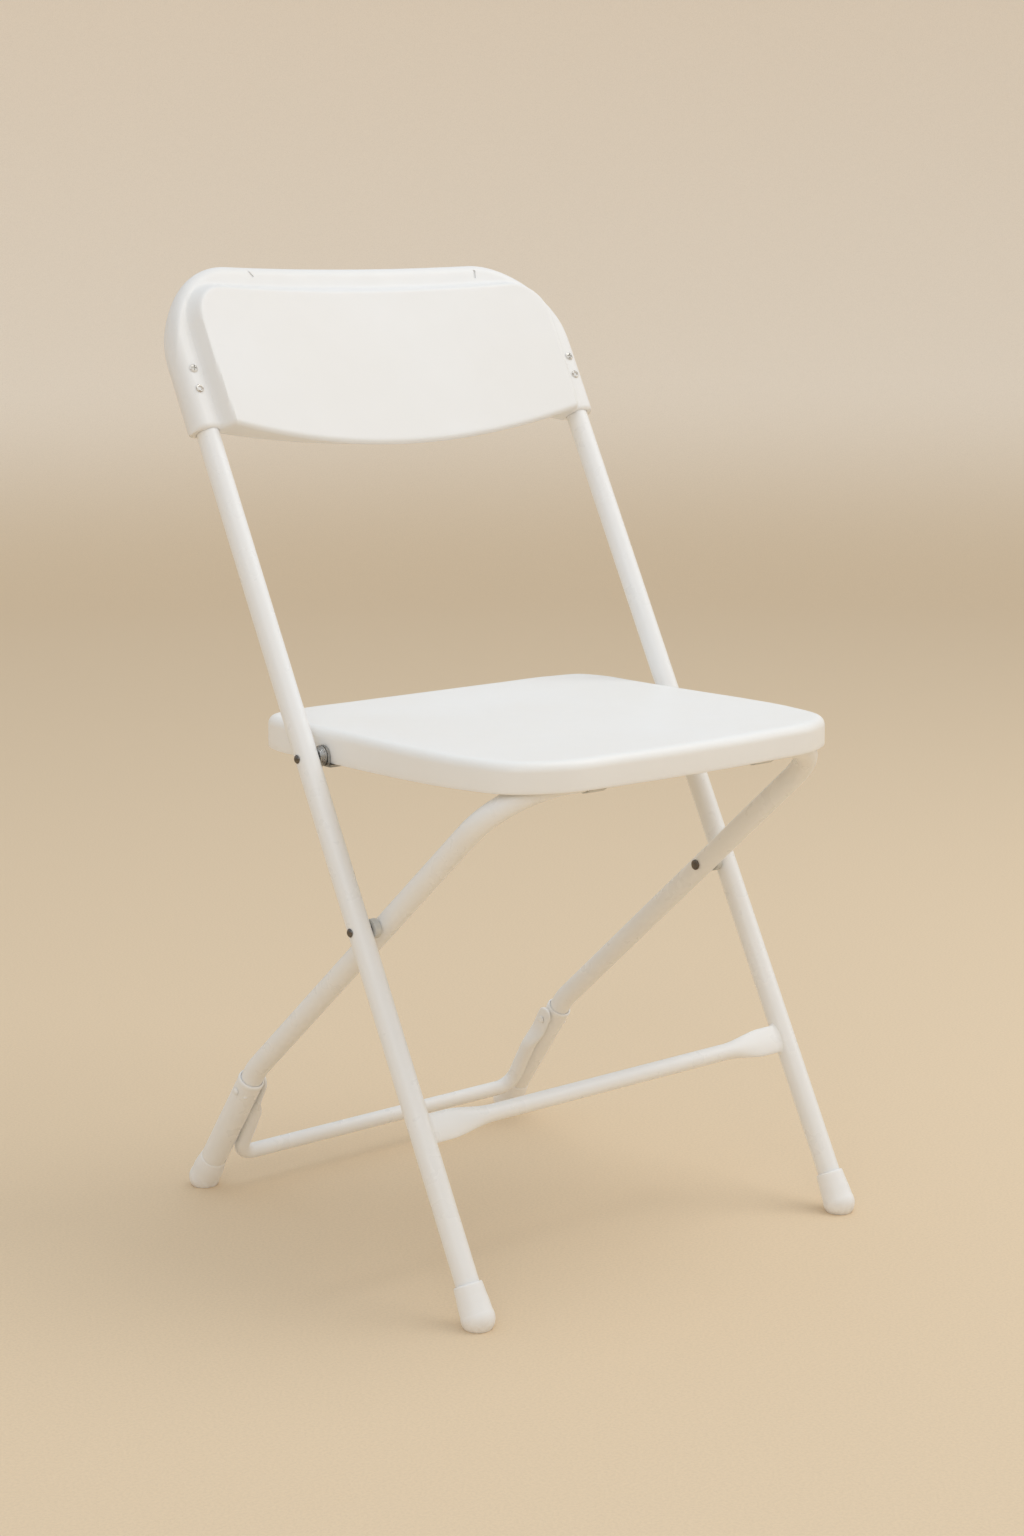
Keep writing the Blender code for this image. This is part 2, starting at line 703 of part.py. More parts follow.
def brace_rings():
    """Rings from the right end to the left: pressed flat against the leg at each end, and round between."""
    across = Vector((1, 0, 0))
    outer = REAR_X - SLEEVE_R - GAP
    low = LEG_BEND + Vector((0, BRACE_BACK, BRACE_Z - LEG_BEND.z))
    rise = (BRACE_RIVET - low).normalized()
    top = BRACE_RIVET + rise * BRACE_END
    wide_way = across.cross(rise)
    rings = []
    for drop, flat, width in BRACE_STATIONS:
        thick = mix(BRACE_R, BRACE_FLAT_T, flat)
        wide = mix(BRACE_R, BRACE_FLAT_W, flat) * width
        rings.append(brace_ring(shifted(top - rise * drop, outer - thick), across, wide_way, thick, wide))
    centre = shifted(low + rise * BRACE_BEND_R, outer - BRACE_R - BRACE_BEND_R)
    for turn in (0, 22.5, 45, 67.5, 90):
        out = across * math.cos(math.radians(turn)) - rise * math.sin(math.radians(turn))
        rings.append(brace_ring(centre + out * BRACE_BEND_R, out, wide_way, BRACE_R, BRACE_R))
    return rings + [[shifted(point, -point.x) for point in ring] for ring in reversed(rings)]


def brace_ring(middle, out, wide_way, thick, wide):
    turns = [2 * math.pi * i / 16 for i in range(16)]
    return [middle + out * (thick * math.cos(a)) + wide_way * (wide * math.sin(a)) for a in turns]


def make_brace():
    """U of thinner tube: a low cross bar whose upturned ends are pressed flat and riveted inside the legs."""
    obj = loft("rear_brace", brace_rings(), WHITE_PAINT, PARTS, "open")
    solidify(obj, TUBE_WALL)
    shade(obj)
    for side, sign in sides():
        head = sign * (REAR_X + SLEEVE_R + GAP)
        inner = REAR_X - SLEEVE_R - GAP - 2 * BRACE_FLAT_T
        start, end = (shifted(BRACE_RIVET, sign * (inner + reach)) for reach in (0.006, -0.002))
        boolean(obj, round_cutter(f"cut_brace_{side}", BRACE_HOLE, start, end))
        start, end = shifted(BRACE_RIVET, head), shifted(BRACE_RIVET, sign * (inner - GAP))
        headed_pin(f"brace_rivet_{side}", start, end, BRACE_PIN_R, 0.0036, WHITE_PAINT, 0.0012, 0.0034)


def make_bar_glides():
    """Nylon bushes on the cross bar, which slide along the seat's guides."""
    for side, sign in sides():
        start = shifted(BAR, sign * (GUIDE_X - GLIDE_HALF_LENGTH))
        end = shifted(BAR, sign * (GUIDE_X + GLIDE_HALF_LENGTH))
        ring_piece(f"bar_glide_{side}", start, end, BORE_R, GLIDE_R, NYLON)


# ---------------------------------------------------------------- seat


def smooth_outline(points, per_span):
    """Curve through the points, mirrored to a closed loop, with tangents from their neighbours."""
    half = [Vector((x, f)) for x, f in points]
    loop = half + [Vector((-p.x, p.y)) for p in reversed(half[1:-1])]
    count = len(loop)
    gaps = [(loop[(i + 1) % count] - loop[i]).length for i in range(count)]
    made = []
    for i in range(count):
        p0, p1, p2, p3 = (loop[(i + k) % count] for k in (-1, 0, 1, 2))
        d0, d1, d2 = gaps[i - 1], gaps[i], gaps[(i + 1) % count]
        t1 = ((p1 - p0) / d0 * d1 + (p2 - p1) / d1 * d0) / (d0 + d1) * d1
        t2 = ((p2 - p1) / d1 * d2 + (p3 - p2) / d2 * d1) / (d1 + d2) * d1
        for k in range(per_span):
            t = k / per_span
            made.append(
                p1 * (2 * t**3 - 3 * t**2 + 1) + t1 * (t**3 - 2 * t**2 + t)
                + p2 * (3 * t**2 - 2 * t**3) + t2 * (t**3 - t**2)
            )
    return made


def inset_loop(loop, distance):
    """The loop moved inwards by the distance, along its own normals."""
    count = len(loop)
    moved = []
    for i, point in enumerate(loop):
        along = (loop[(i + 1) % count] - loop[i - 1]).normalized()
        moved.append(point + Vector((-along.y, along.x)) * distance)
    return moved


def seat_middle_ring(loop, share, height):
    """The loop drawn in towards the seat's middle, flat at one height."""
    return [on_seat(p.x * share, mix(SEAT_MIDDLE, p.y, share), height) for p in loop]


def seat_rings(loop):
    """Rings of the seat's skin, from the middle of its top, round the rim, to the middle of its underside."""
    inner = inset_loop(loop, SEAT_FLAT_INSET)
    under = SEAT_TOP - SEAT_WALL
    rings = [seat_middle_ring(inner, share, SEAT_TOP - SEAT_DISH) for share in (0.30, 0.65)]
    edge = [(SEAT_FLAT_INSET, SEAT_TOP - 0.0008), (0.014, SEAT_TOP - 0.0001)]
    for a in (0, 30, 60, 90):
        turn = math.radians(a)
        edge.append((SEAT_ROUND * (1 - math.sin(turn)), SEAT_TOP - SEAT_ROUND * (1 - math.cos(turn))))
    edge += [(0.0, SEAT_RIM + 0.0010), (0.0009, SEAT_RIM), (SEAT_WALL - 0.0008, SEAT_RIM)]
    edge += [(SEAT_WALL, SEAT_RIM + 0.0010), (SEAT_WALL, under - 0.0060)]
    edge += [(SEAT_WALL + 0.0045, under - 0.0008), (SEAT_FLAT_INSET, under - 0.0008)]
    for distance, height in edge:
        ring = []
        for p in inset_loop(loop, distance):
            lift = SEAT_RIM_RISE * smooth(p.y / SEAT_FRONT) if height < SEAT_RIM + 0.002 else 0.0
            ring.append(on_seat(p.x, p.y, height + lift))
        rings.append(ring)
    rings += [seat_middle_ring(inner, share, under - SEAT_DISH) for share in (0.65, 0.30)]
    return rings


def make_seat():
    """Shell with a skirt, hollow beneath, with bosses for the screws of its brackets and guides."""
    loop = smooth_outline(SEAT_OUTLINE, 2)
    obj = loft("seat", seat_rings(loop), WHITE_PLASTIC, PARTS)
    buried = SEAT_TOP - SEAT_DISH - 0.0012
    for side, sign in sides():
        spots = [(f"bracket_{i}", BRACKET_SCREW_X, f, SEAT_RIM) for i, f in enumerate(BRACKET_SCREWS)]
        spots += [(f"guide_{i}", GUIDE_X, f, GUIDE_TOP + GAP) for i, f in enumerate(GUIDE_SCREWS)]
        for name, x, f, low in spots:
            start, end = on_seat(sign * x, f, low), on_seat(sign * x, f, buried)
            boolean(obj, round_cutter(f"boss_{name}_{side}", SEAT_BOSS_R, start, end, 12), "UNION")
            start, end = on_seat(sign * x, f, low - 0.01), on_seat(sign * x, f, buried - 0.0012)
            boolean(obj, round_cutter(f"cut_boss_{name}_{side}", SMALL_HOLE, start, end, 10))
        start, end = shifted(SEAT_PIVOT, sign * 0.166), shifted(SEAT_PIVOT, sign * 0.190)
        boolean(obj, round_cutter(f"cut_skirt_{side}", PIN_HOLE + 0.0003, start, end))
    shade(obj, 35)


def make_brackets():
    """Angle plate at each seat pivot: a round-topped flange outside the skirt, and a foot under the rim."""
    low = SEAT_RIM - GAP - BRACKET_FOOT_T
    outline = [(BRACKET_HALF, low)] + arc(0, 0, BRACKET_HALF, 0, 180, 8) + [(-BRACKET_HALF, low)]
    for side, sign in sides():
        # In the plate's frame, X runs to the rear and Y up, so its Z is across.
        frame = Matrix(((0, 0, 1, 0), (1, 0, 0, 0), (0, 1, 0, 0), (0, 0, 0, 1)))
        middle = shifted(SEAT_PIVOT, sign * (BRACKET_X + BRACKET_T / 2))
        obj = plate(f"seat_bracket_{side}", outline, BRACKET_T, Matrix.Translation(middle) @ frame, ZINC)
        inner, outer = sorted((sign * BRACKET_FOOT_X, sign * (BRACKET_X + BRACKET_T)))
        foot = box(
            f"foot_bracket_{side}",
            (inner, SEAT_PIVOT.y - BRACKET_FOOT_HALF, SEAT_PIVOT.z + low),
            (outer, SEAT_PIVOT.y + BRACKET_FOOT_HALF, SEAT_PIVOT.z + low + BRACKET_FOOT_T),
            None,
            CUTTERS,
        )
        boolean(obj, helper(foot), "UNION")
        start, end = shifted(SEAT_PIVOT, sign * 0.178), shifted(SEAT_PIVOT, sign * 0.190)
        boolean(obj, round_cutter(f"cut_bracket_{side}", PIN_HOLE, start, end))
        for place, f in zip(("rear", "front"), BRACKET_SCREWS):
            x = sign * BRACKET_SCREW_X
            start, end = on_seat(x, f, low - 0.004), on_seat(x, f, low + 0.006)
            boolean(obj, round_cutter(f"cut_bracket_{place}_{side}", SMALL_HOLE, start, end, 12))
            name = f"bracket_screw_{place}_{side}"
            start, end = on_seat(x, f, low - GAP), on_seat(x, f, 0.0100)
            headed_pin(name, start, end, SMALL_R, SMALL_HEAD_R, ZINC, SMALL_DOME)


def make_guides():
    """Nylon rail on each side of the hollow. The bar's bush rests in the notch at its front when open."""
    bar_f = SEAT_PIVOT.y - BAR.y
    bar_h = BAR.z - SEAT_PIVOT.z
    notch_r = GLIDE_R + 0.0005
    slide = bar_h + GUIDE_SLIDE
    rise = math.degrees(math.asin((slide - bar_h) / notch_r))
    notch = arc(bar_f, bar_h, notch_r, 180 - rise, 0, 10)
    front = bar_f + notch_r + GUIDE_LIP
    outline = [(GUIDE_REAR, GUIDE_TOP), (GUIDE_REAR, slide + 0.001), (GUIDE_REAR + 0.004, slide)] + notch
    outline += [(front - GUIDE_LIP, GUIDE_LOW), (front - 0.0010, GUIDE_LOW), (front, GUIDE_LOW + 0.0010)]
    outline += [(front, GUIDE_TOP)]
    for side, sign in sides():
        # In the rail's frame, X runs forward and Y up, so its Z is across.
        frame = Matrix(((0, 0, -1, 0), (-1, 0, 0, 0), (0, 1, 0, 0), (0, 0, 0, 1)))
        middle = shifted(SEAT_PIVOT, sign * GUIDE_X)
        obj = plate(f"bar_guide_{side}", outline, GUIDE_W, Matrix.Translation(middle) @ frame, NYLON)
        for place, f in zip(("rear", "front"), GUIDE_SCREWS):
            x = sign * GUIDE_X
            start, end = on_seat(x, f, slide - 0.004), on_seat(x, f, GUIDE_TOP + 0.004)
            boolean(obj, round_cutter(f"cut_guide_{place}_{side}", SMALL_HOLE, start, end, 12))
            start, end = on_seat(x, f, slide - GAP), on_seat(x, f, SEAT_TOP - SEAT_DISH - 0.0032)
            headed_pin(f"guide_screw_{place}_{side}", start, end, SMALL_R, SMALL_HEAD_R, ZINC, SMALL_DOME)


# ---------------------------------------------------------------- assembly


def pivot_empty(name, place, members):
    """Empty on a joint's axis, parent to the pieces that turn with it."""
    empty = bpy.data.objects.new(name, None)
    empty.empty_display_size = 0.03
    PARTS.objects.link(empty)
    empty.location = place
    bpy.context.view_layer.update()
    for member in members:
        member.parent = empty
        member.matrix_parent_inverse = empty.matrix_world.inverted()


REAR_PIECES = ("rear_", "brace_rivet", "bar_glide")
SEAT_PIECES = ("seat", "bracket_screw", "bar_guide", "guide_screw")
FRAME_PIECES = ("seat_pivot_",)


def main():
    make_uprights()
    floor = floor_cutter()
    make_front_feet(floor)
    make_front_stretcher()
    make_backrest()
    make_pivots()
    make_rear_frame()
    make_rear_feet(floor)
    make_sleeves()
    make_brace()
    make_bar_glides()
    make_seat()
    make_brackets()
    make_guides()
    pieces = list(PARTS.objects)
    pivot_empty("leg_hinge", LEG_PIVOT, [o for o in pieces if o.name.startswith(REAR_PIECES)])
    turning = [o for o in pieces if o.name.startswith(SEAT_PIECES) and not o.name.startswith(FRAME_PIECES)]
    pivot_empty("seat_hinge", SEAT_PIVOT, turning)


clear_scene()
PARTS = collection("folding_chair")
CUTTERS = collection("cutters")
main()
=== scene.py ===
"""Looks of the folding chair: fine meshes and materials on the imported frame, a studio and a camera."""

import json
import math

import bmesh
import bpy
from mathutils import Matrix, Vector
from mathutils.geometry import intersect_line_line


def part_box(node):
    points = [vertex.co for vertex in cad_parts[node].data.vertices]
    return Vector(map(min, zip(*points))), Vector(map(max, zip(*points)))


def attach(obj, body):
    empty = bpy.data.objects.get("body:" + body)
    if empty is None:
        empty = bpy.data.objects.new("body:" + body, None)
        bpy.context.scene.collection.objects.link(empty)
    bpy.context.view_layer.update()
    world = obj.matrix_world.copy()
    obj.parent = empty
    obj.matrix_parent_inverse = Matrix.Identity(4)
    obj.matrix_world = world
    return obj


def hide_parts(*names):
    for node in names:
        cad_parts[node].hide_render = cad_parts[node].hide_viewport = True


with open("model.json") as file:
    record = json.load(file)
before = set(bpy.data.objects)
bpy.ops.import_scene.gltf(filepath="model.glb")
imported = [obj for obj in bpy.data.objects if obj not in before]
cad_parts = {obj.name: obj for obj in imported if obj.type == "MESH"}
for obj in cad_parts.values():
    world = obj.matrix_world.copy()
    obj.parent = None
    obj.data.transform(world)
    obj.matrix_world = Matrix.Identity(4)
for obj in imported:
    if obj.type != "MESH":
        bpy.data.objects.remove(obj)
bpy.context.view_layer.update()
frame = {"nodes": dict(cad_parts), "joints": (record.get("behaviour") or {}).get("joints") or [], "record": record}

RECORD = frame["record"]
BODY_OF = {node: body for body, nodes in RECORD["behaviour"]["bodies"].items() for node in nodes}
SIDES = (("left", -1), ("right", 1))

# Camera, solved to stand where the photograph's did
CAMERA_PLACE = (-1.4339, -1.7090, 0.7969)
CAMERA_BACK = (-0.6322, -0.7530, 0.1824)
CAMERA_ROLL = math.radians(-0.23)
CAMERA_LENS = 63.36

# Tubes and what sits on them
GAP = 0.0003
TUBE_R = 0.0095
TUBE_WALL = 0.0012
UPRIGHT_END = 0.815
BAR_BEND_R = 0.059
LEG_BEND_R = 0.060
SLEEVE_R = 0.0112
SLEEVE_TOP = 0.0120
SLEEVE_LIP = 0.0003
PIP_R = 0.0021
PIP_RISE = 0.0012
PIP_ROOT = 0.0008
PIP_SINK = 0.0003
BRACE_R = 0.00675
BRACE_BEND_R = 0.016
BRACE_END = 0.0120
BRACE_FLAT_T = 0.0021
BRACE_FLAT_W = 0.0085
BRACE_FLAT_FROM = 0.0220
BRACE_FLAT_OVER = 0.0240
BRACE_TIP_EASE = 0.0012
BRACE_TIP_THIN = 0.72
STRETCHER_R = 0.0070
STRETCHER_BLADE_GROW = 0.0050
STRETCHER_BLADE_THIN = 0.0036
STRETCHER_PRESS_FROM = 0.072
STRETCHER_PRESS_OVER = 0.046

# Feet, along each leg's own line
FOOT_R = 0.0135
FOOT_CENTRE_Z = 0.0080
FOOT_TOP_R = 0.0116
FOOT_LENGTH = 0.0265
FOOT_BORE = 0.0020
FOOT_LIP_GAP = 0.0004
REAR_FOOT_SWELL = 0.0008

# Seat, measured forward (f) and up (h) from its pivot
SEAT_TOP = 0.0213
SEAT_RIM = -0.0057
SEAT_RIM_RISE = 0.0030
SEAT_FRONT = 0.2439
SEAT_WALL = 0.0035
SEAT_DISH = 0.0025
SEAT_ROUND = 0.0080
SEAT_MIDDLE = 0.0700
SEAT_DISH_REACH = 0.55
SEAT_FLAT_INSET = 0.012
SEAT_UNDER_INSET = 0.014
SEAT_UNDER_ROUND = 0.0050
SEAT_OUTLINE = [
    (0.000, -0.1036),
    (0.080, -0.1036),
    (0.138, -0.1026),
    (0.1715, -0.0930),
    (0.1824, -0.0660),
    (0.1828, -0.0330),
    (0.1826, 0.0000),
    (0.1840, 0.0570),
    (0.1856, 0.1120),
    (0.1824, 0.1670),
    (0.1680, 0.2138),
    (0.1350, 0.2352),
    (0.0800, 0.2415),
    (0.000, SEAT_FRONT),
]

# Backrest, measured across (x), along the uprights (s) and forward of their plane (n)
BACK_HALF_W = 0.2155
BACK_TOP = 0.9005
BACK_CORNER_X = 0.085
BACK_CORNER_S = 0.102
BACK_BOTTOM = 0.7485
BACK_LIP_DROP = 0.0200
BACK_HEEL = 0.7545
BACK_HEEL_DROP = 0.0160
BACK_EDGE = 0.0110
BACK_LIP_ROUND = 0.0040
PAD_HALF_W = 0.1930
PAD_TOP = 0.8773
PAD_CORNER = 0.038
PAD_TAPER = 0.05
PAD_TAPER_S = 0.80
PAD_EDGE_OUT = 0.0030
PAD_EDGE_OVER = 0.0100
PAD_FRONT = (0.0060, 0.0240)
LEDGE_FRONT = (-0.0030, 0.0118)
BACK_REAR = (-0.0210, -0.0128)
SOCKET_DEPTH = 0.12
MARKS = ((-0.1105, 0.8917, 0.62), (0.1317, 0.8885, -0.30))
MARK_SIZE = (0.0084, 0.0026, 0.0022)
BACK_FIX_X = 0.2030
BACK_FIX_S = (0.7830, 0.8010)

# Fasteners
HEAD_SEAT = 0.00002
BACK_RIVET_HEAD = 0.0036
BACK_SCREW_HEAD = 0.0038
BACK_TAIL_R = 0.0034
PIVOT_HEAD_R = 0.0036
PIVOT_PIN_R = 0.0030
PIVOT_BORE_R = 0.0034
BRACE_RIVET_HEAD = 0.0034
HIDDEN_SCREW_HEAD = 0.0033
HIDDEN_SCREW_DOME = 0.0014
SCREW_SHANK_R = 0.0016
RIVET_SHANK_R = 0.0020

# Studio
FLOOR_FLAT_R = 4.2
FLOOR_CURVE_R = 1.8
WALL_TOP = 2.1
FLOOR_TONE = (0.80, 0.64, 0.448)
# Wall tone: partly the wall's own colour, partly painted light, lightened to stand in for light the low wall gets
# too little of.
WALL_TONE_WITH_PAINTED_LIGHT = (1.0, 0.885, 0.74)
COOL = (0.93, 0.965, 1.0)
SKY_STRENGTH = 0.72
LIGHTS = (
    ("key", (1.2, -0.7, 3.0), (0, 0, 0.4), 2.0, 24, (1.0, 0.985, 0.96)),
    ("left_fill", (-2.5, -2.4, 2.3), (0, 0, 0.5), 2.4, 17, COOL),
    ("right_fill", (3.0, -1.9, 2.2), (0, 0, 0.45), 2.4, 11, COOL),
)


# ---------------------------------------------------------------- places, from the frame


def centre_of(node):
    low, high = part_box(node)
    return (low + high) / 2


def in_plane(point):
    """The point's shadow on the middle plane of the chair."""
    return Vector((0, point.y, point.z))


def at_x(point, x):
    return Vector((x, point.y, point.z))


def joint_place(name):
    return Vector(next(joint["pos_m"] for joint in frame["joints"] if joint["name"] == name))


def mount_place(name):
    return Vector(next(mount["pos_m"] for mount in RECORD["mounts"] if mount["name"] == name))


LEG_PIVOT = joint_place("rear_frame_fold")
SEAT_PIVOT = joint_place("seat_fold")
UP = (SEAT_PIVOT - LEG_PIVOT).normalized()
FORWARD = Vector((0, -UP.z, UP.y))
FLOOR_POINT = LEG_PIVOT - UP * (LEG_PIVOT.z / UP.z)
UPRIGHT_X = centre_of("upright_right").x
REAR_X = centre_of("rear_leg_sleeve_right").x
BAR = in_plane(centre_of("bar_glide_right"))
REAR_FOOT = in_plane(mount_place("rear_foot_sole_right")) + Vector((0, 0, FOOT_CENTRE_Z))
BRACE_RIVET = in_plane(centre_of("brace_rivet_right"))
LOWER_UP = (BRACE_RIVET - REAR_FOOT).normalized()
LEG_BEND = intersect_line_line(LEG_PIVOT, BAR, REAR_FOOT, BRACE_RIVET)[0]
STRETCHER_S = (centre_of("front_stretcher") - FLOOR_POINT).dot(UP)


def on_upright(x, s, n=0.0):
    """Point from across, along the uprights, and forward of their plane."""
    return at_x(FLOOR_POINT + UP * s + FORWARD * n, x)


def on_seat(x, f, h):
    return Vector((x, SEAT_PIVOT.y - f, SEAT_PIVOT.z + h))


# ---------------------------------------------------------------- mesh makers


def mix(a, b, t):
    return a + (b - a) * t


def smooth(t):
    t = min(max(t, 0.0), 1.0)
    return t * t * (3 - 2 * t)


def steps(start, end, count):
    return [mix(start, end, i / count) for i in range(count + 1)]


def piece(name, points, faces, sharp=40):
    """Object with a clean, closed mesh of the points and faces."""
    mesh = bpy.data.meshes.new(name)
    mesh.from_pydata(points, [], faces)
    shape = bmesh.new()
    shape.from_mesh(mesh)
    bmesh.ops.remove_doubles(shape, verts=shape.verts, dist=0.00001)
    bmesh.ops.dissolve_degenerate(shape, edges=shape.edges, dist=0.000005)
    bmesh.ops.recalc_face_normals(shape, faces=shape.faces)
    shape.to_mesh(mesh)
    shape.free()
    obj = bpy.data.objects.new(name, mesh)
    bpy.context.scene.collection.objects.link(obj)
    soften(obj, sharp)
    return obj


def soften(obj, sharp):
    obj.data.shade_smooth()
    obj.data.set_sharp_from_angle(angle=math.radians(sharp))


def skin(name, rings, closed=False, sharp=40):
    """Piece over rings of equal size. Its ends are flat, or closed joins the last ring to the first."""
    size = len(rings[0])
    points = [point for ring in rings for point in ring]
    faces = []
    for r in range(len(rings) if closed else len(rings) - 1):
        low, high = r * size, (r + 1) % len(rings) * size
        for i in range(size):
            j = (i + 1) % size
            faces.append((low + i, low + j, high + j, high + i))
    if not closed:
        faces.append(tuple(range(size)))
        faces.append(tuple(range(len(points) - size, len(points))))
    return piece(name, points, faces, sharp)


def eased(corners, reach, count=4):
    """The corners of a 2D line, each replaced by a small curve."""
    line = [Vector(c) for c in corners]
    made = [line[0]]
    for before, corner, after in zip(line, line[1:], line[2:]):
        back, on = before - corner, after - corner
        start = corner + back.normalized() * min(reach, back.length * 0.45)
        end = corner + on.normalized() * min(reach, on.length * 0.45)
        for t in steps(0, 1, count):
            made.append(start * (1 - t) ** 2 + corner * (2 * t * (1 - t)) + end * t**2)
    made.append(line[-1])
    return made


def turned(name, profile, place, axis, around=64, closed=False, sharp=40):
    """Piece turned about an axis from (radius, height) points."""
    frame_of = Matrix.Translation(place) @ axis.to_track_quat("Z", "Y").to_matrix().to_4x4()
    turns = [2 * math.pi * i / around for i in range(around)]
    rings = []
    for radius, height in profile:
        rings.append([frame_of @ Vector((radius * math.cos(a), radius * math.sin(a), height)) for a in turns])
    return skin(name, rings, closed, sharp)


def rounded_path(corners, radii, counts, straight=0.03):
    """Points along straight runs whose inner corners are arcs of the given radii."""
    points = [corners[0]]
    for before, corner, after, bend, count in zip(corners, corners[1:], corners[2:], radii, counts):
        into = (corner - before).normalized()
        out = (after - corner).normalized()
        turn = into.angle(out)
        start = corner - into * (bend * math.tan(turn / 2))
        centre = start + (out - into * into.dot(out)).normalized() * bend
        axis = into.cross(out).normalized()
        run(points, start, straight)
        for i in range(1, count + 1):
            points.append(centre + Matrix.Rotation(turn * i / count, 3, axis) @ (start - centre))
    run(points, corners[-1], straight)
    return points


def run(points, end, spacing):
    """Adds evenly spaced points from the last one to the end."""
    start = points[-1]
    count = max(1, round((end - start).length / spacing))
    points += [mix(start, end, i / count) for i in range(1, count + 1)]


def swept(name, path, radius, wall, around=48):
    """Hollow tube along the path, with its edges eased."""
    ease = 0.0003
    outer, inner = [], []
    side = (path[1] - path[0]).orthogonal()
    for i, point in enumerate(path):
        ahead = path[min(i + 1, len(path) - 1)] - path[max(i - 1, 0)]
        along = ahead.normalized()
        side = (side - along * side.dot(along)).normalized()
        other = along.cross(side)
        turns = [2 * math.pi * k / around for k in range(around)]
        spokes = [side * math.cos(a) + other * math.sin(a) for a in turns]
        outer.append([point + spoke * radius for spoke in spokes])
        inner.append([point + spoke * (radius - wall) for spoke in spokes])
        if i in (0, len(path) - 1):
            outward = along * (ease if i else -ease)
            lip = [point + outward + spoke * (radius - ease) for spoke in spokes]
            if i:
                outer.append(lip)
            else:
                outer.insert(0, lip)
    return skin(name, outer + inner[::-1], closed=True)


def cutter(name, points, faces):
    obj = piece(name, points, faces)
    obj.hide_render = True
    return obj


def cut(obj, tools, sharp=40, operation="DIFFERENCE"):
    """The object with the tools' solids cut out of it, or added to it."""
    for tool in tools:
        modifier = obj.modifiers.new("cut", "BOOLEAN")
        modifier.operation = operation
        modifier.object = tool
        modifier.solver = "EXACT"
    bpy.context.view_layer.update()
    graph = bpy.context.evaluated_depsgraph_get()
    mesh = bpy.data.meshes.new_from_object(obj.evaluated_get(graph))
    obj.modifiers.clear()
    obj.data = mesh
    for tool in tools:
        bpy.data.objects.remove(tool, do_unlink=True)
    soften(obj, sharp)
    return obj


def block(name, place, across, up, size):
    """Box cutter with its middle at a place, sized along two directions and their cross."""
    third = across.cross(up)
    half = [across * (size[0] / 2), up * (size[1] / 2), third * (size[2] / 2)]
    corners = [(a, b, c) for a in (-1, 1) for b in (-1, 1) for c in (-1, 1)]
    points = [place + half[0] * a + half[1] * b + half[2] * c for a, b, c in corners]
    faces = [(0, 1, 3, 2), (4, 6, 7, 5), (0, 4, 5, 1), (2, 3, 7, 6), (0, 2, 6, 4), (1, 5, 7, 3)]
    return cutter(name, points, faces)


# ---------------------------------------------------------------- materials


